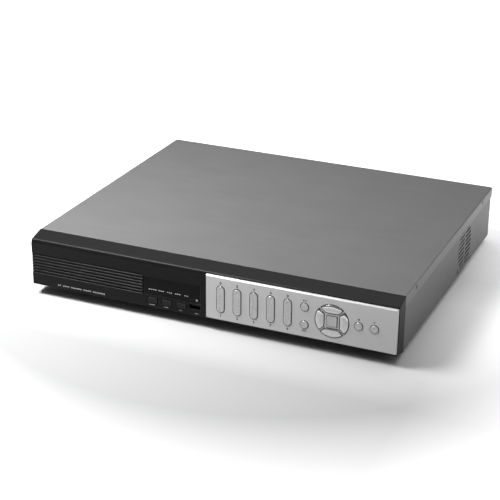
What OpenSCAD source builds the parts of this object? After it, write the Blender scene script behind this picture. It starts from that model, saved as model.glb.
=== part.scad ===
// Digital video recorder in a full-width steel case, with a moulded front bezel.
// Millimetres. +X is to the right seen from the front, +Z is up, and the front faces -Y.
// The origin is at the centre of the recorder's own footprint, on the surface it stands on.

/* [Case] */
// Width over the cover's side flanges
case_w = 430; // [400:5:520]
// Depth from the bezel's face to the outside of the rear panel
case_d = 365; // [330:5:440]
// Height of the case without its feet
case_h = 64.6; // [64.6:0.2:80]
// Thickness of the steel sheet
sheet = 1; // [0.8:0.1:1.3]
// Height of the rubber feet
foot_h = 7; // [5:0.5:12]
// Radius of the rubber feet
foot_r = 11; // [9:0.5:14]
// Distance of the feet's centres from the case's sides
foot_in_x = 30; // [20:1:60]
// Distance of the feet's centres from the bezel's face and the rear panel
foot_in_y = 42; // [36:1:60]
// Height of the cover's side flanges
flange_h = 12.2; // [11:0.1:13]
// Gap between the cover and the tray that it slides over
cover_gap = 0.2; // [0.1:0.05:0.3]
// Radius of the folded edges of the cover and the tray
fold_r = 1.8; // [1.5:0.1:2.5]
// Distance of the cover's side screws from its front and rear edges
cover_screw_in = 36; // [25:1:60]

/* [Front bezel] */
// Depth of the moulded bezel
bezel_d = 20.5; // [18.5:0.5:26]
// Wall thickness of the bezel
bezel_wall = 2.6; // [2.4:0.1:3]
// Gap between the bezel and the steel behind it
seam = 0.4; // [0.2:0.1:0.8]
// Height that the sloping brow drops from the cover to its corner
brow_drop = 4.9; // [3:0.1:7]
// Distance of the brow's corner behind the face
brow_y = 1.8; // [1:0.1:3]
// Height of the sloping strip between the brow's corner and the face
lip_drop = 4.1; // [3:0.1:5]
// Height that the chin rises from the case's bottom to the face
chin_rise = 5.4; // [4:0.1:6]
// Number of grooves on the left half
groove_n = 7; // [3:1:7]
// Distance from one groove to the next
groove_pitch = 3.55; // [3:0.05:3.7]
// Height of the lowest groove's sill above the case's bottom
groove_lift = 20; // [18:0.5:22]
// Depth of a groove
groove_depth = 1.3; // [0.8:0.1:1.5]
// Width of the upright strip beside the control panel
strip_w = 5; // [3:0.5:6]
// Height of that strip above the face
strip_proud = 0.5; // [0.3:0.1:1]

/* [Display window] */
// Width of the smoked window
window_w = 68.6; // [60:0.2:80]
// Height of the smoked window
window_h = 20.6; // [18:0.2:22]
// Thickness of the smoked window
window_t = 1.4; // [1:0.1:1.6]
// Depth of the window's front below the bezel's face
window_sink = 0.4; // [0.2:0.1:0.6]
// Width of the ledge that the window rests on
window_ledge = 3; // [2:0.5:4]
// Number of indicator lamps
lamp_n = 5; // [3:1:6]
// Distance from one lamp to the next
lamp_pitch = 10; // [8:0.5:11]
// Radius of a lamp
lamp_r = 1.5; // [1:0.1:2]

/* [Control panel] */
// Width of the silver control panel
panel_w = 213.6; // [210:0.2:218]
// Height of the silver control panel
panel_h = 50.7; // [50:0.1:51.5]
// Thickness of the control panel
panel_t = 3; // [2.8:0.1:3.4]
// Height of the control panel's front above the bezel's face
panel_proud = 1.6; // [1.2:0.1:2]
// Bevel round the control panel's front
panel_bevel = 1.3; // [0.8:0.1:1.5]
// Height of the panel's lower edge above the case's bottom
panel_lift = 7.2; // [7:0.1:8]
// Width of the bezel's ledge behind the panel's edges
panel_ledge = 4; // [3:0.1:4.2]
// Gap between the panel and its recess
panel_gap = 0.3; // [0.2:0.05:0.4]

/* [Keys] */
// Gap round a key in its hole
key_gap = 0.4; // [0.35:0.05:0.5]
// Height of a key's front above the panel
key_proud = 1; // [0.8:0.1:1.4]
// Height that the cursor keys are crowned above the other keys
nav_crown = 0.4; // [0.2:0.1:0.8]
// Thickness of the collar that keeps a key behind its hole
collar_t = 0.9; // [0.7:0.1:1]
// Width that the collar reaches past the hole
collar_reach = 0.6; // [0.4:0.05:0.8]
// Number of rocker keys
rocker_n = 5; // [3:1:5]
// Distance from one rocker key to the next
rocker_pitch = 19.15; // [17:0.05:19.5]
// Width of a rocker key
rocker_w = 8.8; // [7:0.1:10]
// Height of a rocker key
rocker_h = 30.2; // [26:0.1:32]
// Angle that a rocker key tilts each way
rocker_tilt = 3.5; // [2:0.5:3.5]
// Radius of a round button
button_r = 4.5; // [3.8:0.1:5]
// Radius of the ring of cursor keys
nav_r = 18.5; // [17:0.1:18.5]
// Width of the ribs between the cursor keys
nav_rib = 1.3; // [1:0.1:1.8]
// Width of the square enter button
enter_w = 11.3; // [9:0.1:12]
// Width of the frame round the enter button
enter_frame = 1.9; // [1.5:0.1:2.4]
// Width of a function key below the window
function_w = 11.6; // [9:0.1:13]
// Height of a function key below the window
function_h = 6.4; // [5:0.1:7]

/* [Fan] */
// Side of the square fan frame
fan_size = 60; // [50:1:60]
// Thickness of the fan
fan_t = 15; // [10:1:20]
// Distance of the fan's axis in front of the rear panel
fan_from_rear = 112; // [105:1:130]
// Radius of the fan's hub
hub_r = 13; // [10:0.5:15]
// Number of fan blades
blade_n = 7; // [5:1:9]
// Radius of the round field of slots in the side wall
vent_r = 27; // [20:0.5:28]
// Distance from one slot row to the next
slot_pitch = 5.4; // [5:0.1:6]
// Height of a slot
slot_h = 2.4; // [1.8:0.1:3]

/* [Rear sockets] */
// Number of video input columns, two jacks each
jack_columns = 8; // [4:1:8]
// Distance from one jack column to the next
jack_pitch = 16; // [16:0.1:17]
// Distance between the two rows of jacks
jack_rise = 23; // [20:0.5:26]
// Radius of a bayonet jack's barrel
jack_r = 4.8; // [4.7:0.05:4.85]
// Length of a bayonet jack behind the rear panel
jack_reach = 14; // [13:0.5:16]
// Width across the flats of a jack's nut
nut_flats = 14.6; // [14.4:0.1:15]
// Number of phono jack columns, two jacks each
phono_columns = 3; // [1:1:3]
// Distance from one phono column to the next
phono_pitch = 12; // [11.5:0.1:13]
// Number of poles of the alarm terminal block
terminal_n = 8; // [4:1:8]
// Distance from one terminal to the next
terminal_pitch = 3.5; // [3.5:0.1:3.8]

/* [Inside] */
// Thickness of the circuit boards
board_t = 1.6; // [1.2:0.2:1.6]
// Height of the spacers under the boards
spacer_h = 6; // [4:0.5:8]
// Width of the main board
main_w = 316; // [300:1:318]
// Depth of the main board
main_d = 130; // [125:1:140]
// Width of the power supply's board
supply_w = 92; // [80:1:95]
// Depth of the power supply's board
supply_d = 118; // [100:1:120]
// Width of the hard drive
drive_w = 101.6; // [100:0.1:102]
// Depth of the hard drive
drive_d = 147; // [145:0.5:147]
// Height of the hard drive
drive_h = 26.1; // [20:0.1:26.1]

/* [Hidden] */
$fn = 48;
eps = 0.01;
fit = 0.05;

half_w = case_w / 2;
z_case = foot_h;
z_top = foot_h + case_h;
z_floor = z_case + sheet;

// The footprint is measured over the keys in front and the bayonet jacks behind.
front_reach = panel_proud + key_proud + nav_crown;
face_y = -(case_d + jack_reach - front_reach) / 2;
steel_y = bezel_d + seam;
rear_y = case_d - sheet;
wall_x = half_w - sheet - cover_gap;
inner_x = wall_x - sheet;
tray_top = z_top - sheet - 0.6;

z_face_top = z_top - brow_drop - lip_drop;
z_face_low = z_case + chin_rise;

screw_r = 1.5;
screw_hole_r = 1.65;
screw_head_r = 2.8;
screw_head_h = 1.8;
pilot_r = 1.55;
board_screw_r = 1.2;
board_screw_head_r = 2.5;
board_pilot_r = 1.25;
board_hole_r = 1.7;

panel_right = half_w - 0.7;
panel_left = panel_right - panel_w;
panel_z = z_case + panel_lift;
panel_front = -panel_proud;
panel_back = panel_front + panel_t;

strip_right = panel_left - panel_gap - 1.1;
strip_left = strip_right - strip_w;

window_right = strip_left - 0.6;
window_left = window_right - window_w;
window_z = z_case + groove_lift + 0.3;
lamp_z = window_z + window_h * 0.56;

// Where the keys stand on the panel, from its lower left corner.
rocker_x = panel_left + 17.6;
rocker_z = panel_z + 24.6;
pair_x = panel_left + 113;
pair_low_z = panel_z + 14.4;
pair_high_z = panel_z + 34.6;
nav_x = panel_left + 143.3;
nav_z = panel_z + 24.5;
record_x = panel_left + 172.4;
play_x = panel_left + 189.4;

key_front = panel_front - key_proud;
// A rocker key needs more room at its ends, which swing as it tilts.
rocker_end_gap = key_gap + 4.6 * sin(rocker_tilt);
collar_y = panel_back + 0.5;
stem_r = 1.6;
stem_tip = 5.2;
switch_tip = 6.4;
key_board_y = 10.4;
dimple_r = 4;
dimple_depth = 0.4;
edge = 0.5;

// Cursor keys: how far from the centre each key's straight sides run.
enter_hole = enter_w / 2 + key_gap;
nav_chord = enter_hole + enter_frame;
nav_hole_r = nav_r + key_gap;

function_z = z_case + 14;
function_step = 17.4;
function_x = window_left + 11.2;
function_front = -0.5;

usb_w = 13.1;
usb_h = 5.7;
usb_d = 14;
usb_shell = 0.35;
front_usb = [strip_left - usb_w / 2 - 0.5, z_case + 16];

fan_y = case_d - fan_from_rear;
fan_z = z_floor + fan_size / 2 + 0.3;
fan_out_x = inner_x - 0.6;
fan_bore_r = fan_size / 2 - 1.6;
fan_screw = fan_size / 2 - 5;
fan_screw_r = 1.8;
fan_head_r = 3.1;
blade_tip_r = fan_bore_r - 0.7;
vent_z = fan_z - 1.9;

board_z = z_floor + spacer_h;
main_right = inner_x - 5;
main_left = main_right - main_w;
main_back = rear_y - 2;
main_front = main_back - main_d;
fan_clear = 6;
supply_left = -inner_x + 6;
supply_back = rear_y - 34;

drive_x = half_w - 55 - drive_w;
drive_y = 46;
drive_z = z_floor + sheet + 3;

jack_x = half_w - 13;
jack_z = z_case + 19;
out_x = jack_x - jack_columns * jack_pitch - 4;
phono_x = out_x - 18;
phono_z = z_case + 21;
phono_rise = 18;
phono_r = 4.15;
terminal_right = phono_x - (phono_columns - 1) * phono_pitch - 9;
terminal_w = terminal_n * terminal_pitch + 2;
vga_x = terminal_right - terminal_w - 24;
rear_usb_x = vga_x - 28;
rear_usb_step = 16;
network_x = rear_usb_x - rear_usb_step - 17;
inlet_x = -half_w + 50;
inlet_z = z_case + 31;
switch_x = -half_w + 13.5;
rocker_pivot_y = case_d - 2;
switch_rest = 8;

// ---- Shared shapes ----

// Everything is drawn with y = 0 at the bezel's face, then set back over the footprint's centre.
module in_place() translate([0, face_y, 0]) children();

// Outlines drawn as (x, z), (y, z) and (x, y), thickened along the third axis.
module slab_y(y, t) translate([0, y + t, 0]) rotate([90, 0, 0]) linear_extrude(height = t) children();
module slab_x(x, t) translate([x, 0, 0]) rotate([90, 0, 90]) linear_extrude(height = t) children();
module slab_z(z, t) translate([0, 0, z]) linear_extrude(height = t) children();

// A shape turned round the Y axis, from an outline of (radius, distance behind the origin).
module lathe_y() rotate([-90, 0, 0]) rotate_extrude() children();

module rounded(w, h, r) {
    square([w - 2 * r, h], center = true);
    square([w, h - 2 * r], center = true);
    for (x = [-1, 1], y = [-1, 1])
        translate([x * (w / 2 - r), y * (h / 2 - r)]) circle(r = r);
}

module span(x0, x1, z0, z1) translate([x0, z0]) square([x1 - x0, z1 - z0]);

// A pan-head screw that points up, with its head's flat side at z = 0.
module pan_screw(r = screw_r, length = 6, head_r = screw_head_r, head_h = screw_head_h) {
    difference() {
        union() {
            translate([0, 0, -head_h]) cylinder(r = head_r, h = head_h);
            translate([0, 0, -eps]) cylinder(r = r, h = length);
        }
        cross_recess(head_r * 0.6, head_h * 0.6, -head_h);
    }
}

// A countersunk screw that points up, with its head's flat face at z = 0 and its cone one sheet deep.
module flush_screw(r = screw_r, length = 6, head_r = screw_head_r) {
    difference() {
        union() {
            cylinder(r1 = head_r, r2 = r, h = sheet);
            cylinder(r = r, h = length);
        }
        cross_recess(head_r * 0.55, 0.6, 0);
    }
}

// The conical hole that a countersunk screw's head sits in, starting a little outside the sheet.
module flush_hole(r = screw_r, head_r = screw_head_r) {
    translate([0, 0, -1]) cylinder(r = head_r + fit, h = 1 + eps);
    cylinder(r1 = head_r + fit, r2 = r + fit, h = sheet);
    cylinder(r = r + fit, h = sheet + 2);
}

module cross_recess(reach, depth, z) {
    for (a = [0, 90]) rotate([0, 0, a])
        translate([-reach, -0.35, z - eps]) cube([2 * reach, 0.7, depth]);
}

// ---- Steel case ----

module foot_places() {
    for (x = [-1, 1], y = [foot_in_y, case_d - foot_in_y])
        translate([x * (half_w - foot_in_x), y, 0]) children();
}

// The folded U of the tray or the cover, as (x, z) outlines with rounded folds at one end.
module folded_u(w, low, high, r) {
    mid = (low + high) / 2;
    translate([0, mid]) rounded(w, high - low, r);
}

module fan_slots() {
    for (row = [-4:4]) {
        dz = row * slot_pitch;
        reach = sqrt(vent_r * vent_r - dz * dz);
        for (side = [-1, 1])
            translate([fan_y + side * (reach / 2 + 1), vent_z + dz])
                rounded(reach - 2, slot_h, slot_h / 2 - eps);
    }
}

module intake_slots() {
    for (i = [0:11])
        translate([case_d - 60 - i * 8, z_case + 32]) rounded(3, 34, 1.5 - eps);
}

module cover_screw_places() {
    for (s = [-1, 1], y = [steel_y + cover_screw_in, case_d - cover_screw_in - 8])
        translate([s * half_w, y, z_top - 4.6]) rotate([0, -s * 90, 0]) children();
}

module fan_screw_places() {
    for (y = [-1, 1], z = [-1, 1])
        translate([wall_x, fan_y + y * fan_screw, fan_z + z * fan_screw]) rotate([0, -90, 0]) children();
}

bezel_screw_x = [-half_w + 24, panel_left - 33, panel_left + 60, half_w - 16];
bezel_screw_z = z_top - 7.2;
bezel_boss_r = 3;
bezel_boss_y = 8;

module base_tray() {
    color("dimgray") in_place() difference() {
        union() {
            difference() {
                slab_y(steel_y, case_d - steel_y) difference() {
                    folded_u(2 * wall_x, z_case, tray_top + 10, fold_r);
                    folded_u(2 * inner_x, z_floor, tray_top + 20, fold_r - sheet);
                    span(-half_w, half_w, tray_top, tray_top + 30);
                }
            }
            slab_y(steel_y, sheet) span(-inner_x - 0.5, inner_x + 0.5, z_floor - 0.5, tray_top);
        }
        // Windows in the front wall, for the cables and for the boss screws.
        slab_y(steel_y - 1, sheet + 2) {
            span(-half_w + 40, panel_left - 12, z_case + 14, z_case + 44);
            span(panel_left + 20, half_w - 40, z_case + 14, z_case + 44);
        }
        slab_y(steel_y - 1, sheet + 2) for (x = bezel_screw_x)
            translate([x, bezel_screw_z]) circle(r = screw_hole_r);
        slab_x(inner_x - 1, sheet + 2) fan_slots();
        fan_screw_places() flush_hole(r = fan_screw_r, head_r = fan_head_r);
        slab_x(-wall_x - 1, sheet + 2) intake_slots();
        cover_screw_places() cylinder(r = pilot_r, h = 6);
        slab_z(z_case - 1, sheet + 2) {
            foot_places() circle(r = pilot_r);
            rear_screw_places() circle(r = screw_hole_r);
        }
    }
}

module rear_screw_places() {
    for (x = [-half_w + 30, 0, half_w - 30]) translate([x, case_d - 8]) children();
}

module jack_places() {
    for (i = [0:jack_columns - 1], row = [0, 1])
        translate([jack_x - i * jack_pitch, 0, jack_z + row * jack_rise]) children();
    for (row = [0, 1]) translate([out_x, 0, jack_z + row * jack_rise]) children();
}

module phono_places() {
    for (i = [0:phono_columns - 1], row = [0, 1])
        translate([phono_x - i * phono_pitch, 0, phono_z + row * phono_rise]) children();
}

module rear_usb_places() {
    for (i = [0, 1]) translate([rear_usb_x - i * rear_usb_step, 0, board_z + board_t + usb_h / 2])
        children();
}

rear_half_w = inner_x - 0.2;
fold_clear = fold_r - sheet + 0.1;

module rear_panel() {
    color("dimgray") in_place() difference() {
        union() {
            // The lower corners clear the folds of the tray.
            slab_y(rear_y, sheet) polygon([
                [-rear_half_w, tray_top], [-rear_half_w, z_floor + fold_clear],
                [fold_clear - rear_half_w, z_floor], [rear_half_w - fold_clear, z_floor],
                [rear_half_w, z_floor + fold_clear], [rear_half_w, tray_top]
            ]);
            for (z = [z_floor, tray_top - sheet])
                slab_z(z, sheet) translate([fold_clear - rear_half_w, rear_y - 12])
                    square([2 * (rear_half_w - fold_clear), 12 + eps]);
        }
        slab_z(z_floor - 1, case_h) rear_screw_places() circle(r = pilot_r);
        translate([0, rear_y - 1, 0]) {
            jack_places() rotate([-90, 0, 0]) cylinder(r = thread_r + 0.3, h = sheet + 2);
            phono_places() rotate([-90, 0, 0]) cylinder(r = phono_r + 0.3, h = sheet + 2);
        }
        rear_usb_places() slab_y(rear_y - 1, sheet + 2) square([usb_w + 0.6, usb_h + 0.6], center = true);
        slab_y(rear_y - 1, sheet + 2) {
            translate([network_x, board_z + board_t + 6.8]) square([16.6, 14.2], center = true);
            translate([vga_x, vga_z]) rounded(18.4, 10, 2);
            for (s = [-1, 1]) translate([vga_x + s * vga_screw, vga_z]) circle(r = 1.6);
            span(terminal_right - terminal_w - 0.3, terminal_right + 0.3,
                terminal_z - 0.3, terminal_z + terminal_h + 0.3);
            translate([inlet_x, inlet_z]) square([inlet_w + 0.6, inlet_h + 0.6], center = true);
            translate([switch_x, inlet_z]) square([switch_w - 1.4, switch_h - 1.4], center = true);
            for (i = [0:4], row = [0, 1])
                translate([inlet_x + 32 + i * 6, z_case + 22 + row * 22]) rounded(2.6, 16, 1.3 - eps);
            for (s = [-1, 1]) translate([inlet_x + s * inlet_ears, inlet_z]) circle(r = pilot_r);
        }
    }
}

module top_cover() {
    color("gray") in_place() difference() {
        slab_y(steel_y, case_d - steel_y) difference() {
            folded_u(case_w, z_top - 40, z_top, fold_r);
            folded_u(case_w - 2 * sheet, z_top - 50, z_top - sheet, fold_r - sheet);
            span(-half_w - 1, half_w + 1, z_top - 60, z_top - flange_h);
        }
        cover_screw_places() flush_hole();
    }
}

// Flush screws hold the cover's sides, and pan-head screws hold the bezel, rear panel and mains inlet.
module case_screws() {
    color("silver") in_place() {
        cover_screw_places() flush_screw();
        for (s = [-1, 1]) translate([inlet_x + s * inlet_ears, case_d + inlet_flange_t, inlet_z])
            rotate([90, 0, 0]) pan_screw();
        for (x = bezel_screw_x) translate([x, steel_y + sheet, bezel_screw_z])
            rotate([90, 0, 0]) pan_screw(r = screw_r - 0.1);
        rear_screw_places() translate([0, 0, z_case]) pan_screw(length = 4, head_h = 1.4);
    }
}

module rubber_feet() {
    color("black") in_place() foot_places() difference() {
        rotate_extrude() polygon([
            [0, 0], [foot_r - 1.5, 0], [foot_r - 0.4, 1], [foot_r, foot_h], [0, foot_h]
        ]);
        translate([0, 0, -1]) cylinder(r = 4.5, h = 1 + foot_h - 2.4);
        translate([0, 0, -1]) cylinder(r = screw_hole_r, h = foot_h + 2);
    }
}

module foot_screws() {
    color("silver") in_place() foot_places() translate([0, 0, foot_h - 2.4])
        pan_screw(length = 6, head_r = 3.2);
}

// ---- Front bezel ----

bezel_outline = [
    [bezel_d, z_case], [0, z_face_low], [0, z_face_top], [brow_y, z_top - brow_drop],
    [bezel_d, z_top]
];
// Heights of the brow's and the chin's outer surfaces, a distance y behind the face.
function brow_z(y) = z_top - brow_drop * (bezel_d - y) / (bezel_d - brow_y);
function chin_z(y) = z_case + chin_rise * (bezel_d - y) / bezel_d;

slope_wall = bezel_wall * 1.035;
bezel_hollow = [
    [bezel_d + 1, chin_z(bezel_d + 1) + slope_wall],
    [bezel_wall, chin_z(bezel_wall) + slope_wall],
    [bezel_wall, z_face_top - bezel_wall / 2],
    [bezel_wall + brow_y, brow_z(bezel_wall + brow_y) - slope_wall],
    [bezel_d + 1, brow_z(bezel_d + 1) - slope_wall]
];

module groove_outline(z) {
    polygon([
        [-1, z - 0.45], [0, z - 0.45], [groove_depth, z + 0.6],
        [groove_depth, z + groove_pitch * 0.54], [-1, z + groove_pitch * 0.54]
    ]);
}

module key_board_boss_places() {
    for (x = [window_left - 8, half_w - 9], z = [z_case + 7.9, z_top - 8.4])
        translate([x, 0, z]) children();
}

module front_bezel() {
    color([0.07, 0.07, 0.075]) in_place() difference() {
        union() {
            difference() {
                slab_x(-half_w, case_w) polygon(bezel_outline);
                slab_x(-half_w + bezel_wall, case_w - 2 * bezel_wall) polygon(bezel_hollow);
            }
            // The upright strip beside the control panel.
            slab_y(-strip_proud, bezel_wall) span(strip_left, strip_right, z_face_low, z_face_top);
            for (x = bezel_screw_x) translate([x, bezel_boss_y, bezel_screw_z])
                rotate([-90, 0, 0]) cylinder(r = bezel_boss_r, h = steel_y - bezel_boss_y);
            key_board_boss_places() translate([0, bezel_wall - eps, 0])
                rotate([-90, 0, 0]) cylinder(r = 2.7, h = key_board_y - bezel_wall + eps);
            // A pad behind the window, so that its ledge is thick enough.
            slab_y(bezel_wall - eps, 1) translate([window_left + window_w / 2, window_z + window_h / 2])
                square([window_w + 2, window_h + 2], center = true);
        }
        for (i = [0:groove_n - 1])
            slab_x(-half_w - 1, window_left + half_w - 0.2)
                groove_outline(z_case + groove_lift + i * groove_pitch);
        // Recess and window for the control panel.
        slab_y(-2, 2 + panel_back + fit)
            span(panel_left - panel_gap, half_w + 1, panel_z - panel_gap, panel_z + panel_h + panel_gap);
        slab_y(-1, bezel_wall + 3) span(panel_left + panel_ledge, panel_right - panel_ledge,
            panel_z + panel_ledge, panel_z + panel_h - panel_ledge);
        // Recess and window for the smoked window.
        slab_y(-1, 1 + window_sink + window_t + fit)
            translate([window_left + window_w / 2, window_z + window_h / 2])
                square([window_w + 0.3, window_h + 0.3], center = true);
        slab_y(-1, bezel_wall + 4) translate([window_left + window_w / 2, window_z + window_h / 2])
            square([window_w - 2 * window_ledge, window_h - 2 * window_ledge], center = true);
        for (i = [0:2]) slab_y(-1, bezel_wall + 2)
            translate([function_x + i * function_step, function_z])
                rounded(function_w + 2 * key_gap, function_h + 2 * key_gap, 1.4);
        slab_y(-1, bezel_wall + 2) translate(front_usb) square([usb_w + 0.6, usb_h + 0.6], center = true);
        for (x = bezel_screw_x) translate([x, steel_y - 6, bezel_screw_z])
            rotate([-90, 0, 0]) cylinder(r = pilot_r, h = 8);
        key_board_boss_places() translate([0, key_board_y - 5.5, 0])
            rotate([-90, 0, 0]) cylinder(r = board_pilot_r, h = 8);
    }
}

module display_window() {
    color([0.12, 0.1, 0.1, 0.8]) in_place() slab_y(window_sink, window_t)
        translate([window_left + window_w / 2, window_z + window_h / 2])
            square([window_w, window_h], center = true);
}

module indicator_lamps() {
    color("palegreen") in_place() for (i = [0:lamp_n - 1])
        translate([function_x + 1.2 + i * lamp_pitch, 0, lamp_z]) {
            translate([0, window_sink + window_t + 2.4, 0]) sphere(r = lamp_r);
            translate([0, window_sink + window_t + 2.4, 0]) rotate([-90, 0, 0])
                cylinder(r = lamp_r, h = key_board_y - window_sink - window_t - 2.4);
        }
}

// ---- Control panel and its keys ----

// A cursor key's outline, pointing up: the ring's arc, two diagonals and a straight inner side.
module nav_outline(r, half_gap, chord) {
    a = chord - half_gap * sqrt(2);
    intersection() {
        circle(r = r);
        polygon([[-a, chord], [a, chord], [a + r, chord + r], [-a - r, chord + r]]);
    }
}

module rocker_places() {
    for (i = [0:rocker_n - 1]) translate([rocker_x + i * rocker_pitch, rocker_z]) children();
}

module round_places() {
    for (p = [[pair_x, pair_low_z], [pair_x, pair_high_z], [record_x, nav_z], [play_x, nav_z]])
        translate(p) children();
}

module control_panel() {
    color("silver") in_place() difference() {
        union() {
            // The bevel is a wedge on each side, so the plate's front is smaller than its back.
            slab_y(panel_front + panel_bevel, panel_t - panel_bevel)
                span(panel_left, panel_right, panel_z, panel_z + panel_h);
            intersection() {
                slab_x(panel_left, panel_w) polygon([
                    [panel_front + panel_bevel + eps, panel_z],
                    [panel_front, panel_z + panel_bevel * 0.6],
                    [panel_front, panel_z + panel_h - panel_bevel],
                    [panel_front + panel_bevel + eps, panel_z + panel_h]
                ]);
                slab_z(panel_z, panel_h) polygon([
                    [panel_left, panel_front + panel_bevel + eps],
                    [panel_left + panel_bevel * 0.6, panel_front],
                    [panel_right - panel_bevel * 0.6, panel_front],
                    [panel_right, panel_front + panel_bevel + eps]
                ]);
            }
        }
        slab_y(panel_front - 1, panel_t + 2) {
            rocker_places() rounded(rocker_w + 2 * key_gap, rocker_h + 2 * rocker_end_gap,
                rocker_w / 2 + key_gap - eps);
            round_places() circle(r = button_r + key_gap);
            translate([nav_x, nav_z]) {
                for (a = [0:90:270]) rotate(a) nav_outline(nav_hole_r, nav_rib / 2, nav_chord);
                square(2 * enter_hole, center = true);
            }
        }
    }
}

// A rocker key tilts about a line through the middle of the panel's thickness.
module number_key(i) {
    half_step = rocker_h / 2 - rocker_w / 2;
    x = rocker_x + i * rocker_pitch;
    color("silver") in_place() difference() {
        union() {
            slab_y(key_front + edge, collar_y + collar_t - key_front - edge)
                translate([x, rocker_z]) rounded(rocker_w, rocker_h, rocker_w / 2 - eps);
            hull() {
                slab_y(key_front + edge, eps) translate([x, rocker_z])
                    rounded(rocker_w, rocker_h, rocker_w / 2 - eps);
                slab_y(key_front, eps) translate([x, rocker_z])
                    rounded(rocker_w - 2 * edge, rocker_h - 2 * edge, rocker_w / 2 - edge - eps);
            }
            // Lugs beside the tilt line keep the key behind the panel.
            slab_y(collar_y, collar_t) translate([x, rocker_z])
                square([rocker_w + 2 * (key_gap + collar_reach), 6], center = true);
            for (s = [-1, 1]) translate([x, collar_y, rocker_z + s * half_step])
                rotate([-90, 0, 0]) cylinder(r = stem_r, h = stem_tip - collar_y);
        }
        for (s = [-1, 1])
            translate([x, key_front - dimple_r + dimple_depth, rocker_z + s * half_step])
                sphere(r = dimple_r);
    }
}

module round_button(x, z, tint) {
    color(tint) in_place() translate([x, 0, z]) lathe_y() polygon([
        [0, key_front + 0.2], [button_r * 0.45, key_front + 0.05], [button_r - 0.9, key_front],
        [button_r - 0.2, key_front + 0.25], [button_r, key_front + 0.9], [button_r, collar_y],
        [button_r + key_gap + collar_reach, collar_y],
        [button_r + key_gap + collar_reach, collar_y + collar_t],
        [stem_r, collar_y + collar_t], [stem_r, stem_tip], [0, stem_tip]
    ]);
}

module nav_key(angle) {
    half_gap = nav_rib / 2 + key_gap;
    chord = nav_chord + key_gap;
    color("silver") in_place() translate([nav_x, 0, nav_z]) rotate([0, -angle, 0]) {
        slab_y(key_front + 0.6, collar_y + collar_t - key_front - 0.6)
            nav_outline(nav_r, half_gap, chord);
        hull() {
            slab_y(key_front + 0.6, eps) nav_outline(nav_r, half_gap, chord, $fn = 64);
            slab_y(key_front - nav_crown, eps) nav_outline(nav_r - 2.4, half_gap + 1, chord + 1.6, $fn = 64);
        }
        slab_y(collar_y, collar_t) nav_outline(nav_hole_r + collar_reach, half_gap, chord);
        translate([0, collar_y, (chord + nav_r) / 2]) rotate([-90, 0, 0])
            cylinder(r = stem_r, h = stem_tip - collar_y);
    }
}

module enter_button() {
    color("silver") in_place() translate([nav_x, 0, nav_z]) {
        slab_y(key_front + 0.4, collar_y + collar_t - key_front - 0.4) rounded(enter_w, enter_w, 0.8);
        slab_y(key_front, 0.4 + eps) rounded(enter_w - 0.8, enter_w - 0.8, 0.8);
        slab_y(collar_y, collar_t)
            square(enter_w + 2 * (key_gap + collar_reach), center = true);
        translate([0, collar_y, 0]) rotate([-90, 0, 0]) cylinder(r = stem_r, h = stem_tip - collar_y);
    }
}

module function_key(i) {
    collar = bezel_wall + 0.4;
    color([0.08, 0.08, 0.085]) in_place() translate([function_x + i * function_step, 0, function_z]) {
        slab_y(function_front + 0.3, collar + collar_t - function_front - 0.3)
            rounded(function_w, function_h, 1);
        slab_y(function_front, 0.3 + eps) rounded(function_w - 0.6, function_h - 0.6, 0.8);
        slab_y(collar, collar_t) rounded(function_w + 2 * (key_gap + collar_reach),
            function_h + 2 * (key_gap + collar_reach), 1);
        translate([0, collar, 0]) rotate([-90, 0, 0]) cylinder(r = stem_r, h = stem_tip - collar);
    }
}

// ---- Boards behind the bezel ----

module key_board() {
    color("darkgreen") in_place() difference() {
        slab_y(key_board_y, board_t) span(window_left - 12, half_w - 4,
            chin_z(key_board_y) + slope_wall + 0.5, brow_z(key_board_y) - slope_wall - 0.5);
        key_board_boss_places() translate([0, key_board_y - 1, 0]) rotate([-90, 0, 0])
            cylinder(r = board_hole_r, h = board_t + 2);
        slab_y(key_board_y - 1, board_t + 2) {
            for (x = bezel_screw_x) translate([x, bezel_screw_z]) circle(r = bezel_boss_r + 0.6);
            // The front data socket passes through a notch in the board.
            translate(front_usb) square([usb_w + 1, usb_h + 1], center = true);
        }
    }
}

module switch_places() {
    half_step = rocker_h / 2 - rocker_w / 2;
    for (i = [0:rocker_n - 1], s = [-1, 1])
        translate([rocker_x + i * rocker_pitch, 0, rocker_z + s * half_step]) children();
    for (p = [[pair_x, pair_low_z], [pair_x, pair_high_z], [record_x, nav_z], [play_x, nav_z]])
        translate([p[0], 0, p[1]]) children();
    translate([nav_x, 0, nav_z]) {
        children();
        for (a = [0:90:270]) rotate([0, a, 0])
            translate([0, 0, (nav_chord + key_gap + nav_r) / 2]) rotate([0, -a, 0]) children();
    }
    for (i = [0:2]) translate([function_x + i * function_step, 0, function_z]) children();
}

module key_switches() {
    color("black") in_place() switch_places() {
        slab_y(switch_tip + 0.8, key_board_y - switch_tip - 0.8) square(6, center = true);
        slab_y(switch_tip, 0.8 + eps) circle(r = 1.7);
    }
}

// The flat cable runs from the key board's back, through the tray's front wall, to the main board.
module ribbon_cable() {
    cable_x = window_left + 30;
    cable_t = 1.2;
    z_run = board_z + 30;
    y_start = key_board_y + board_t;
    y_end = main_front + 5;
    color("gray") in_place() slab_x(cable_x, 26) polygon([
        [y_start, z_run], [y_end, z_run], [y_end, board_z + board_t],
        [y_end + cable_t, board_z + board_t], [y_end + cable_t, z_run + cable_t],
        [y_start, z_run + cable_t]
    ]);
}

// ---- Data sockets ----

module usb_shell() {
    difference() {
        slab_y(0, usb_d) square([usb_w, usb_h], center = true);
        slab_y(-1, usb_d + 1 - usb_shell)
            square([usb_w - 2 * usb_shell, usb_h - 2 * usb_shell], center = true);
    }
}

module usb_tongue() {
    translate([0, 0, 1.2]) slab_y(1.4, usb_d - usb_shell - 1.4) square([11.2, 1.9], center = true);
}

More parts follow.
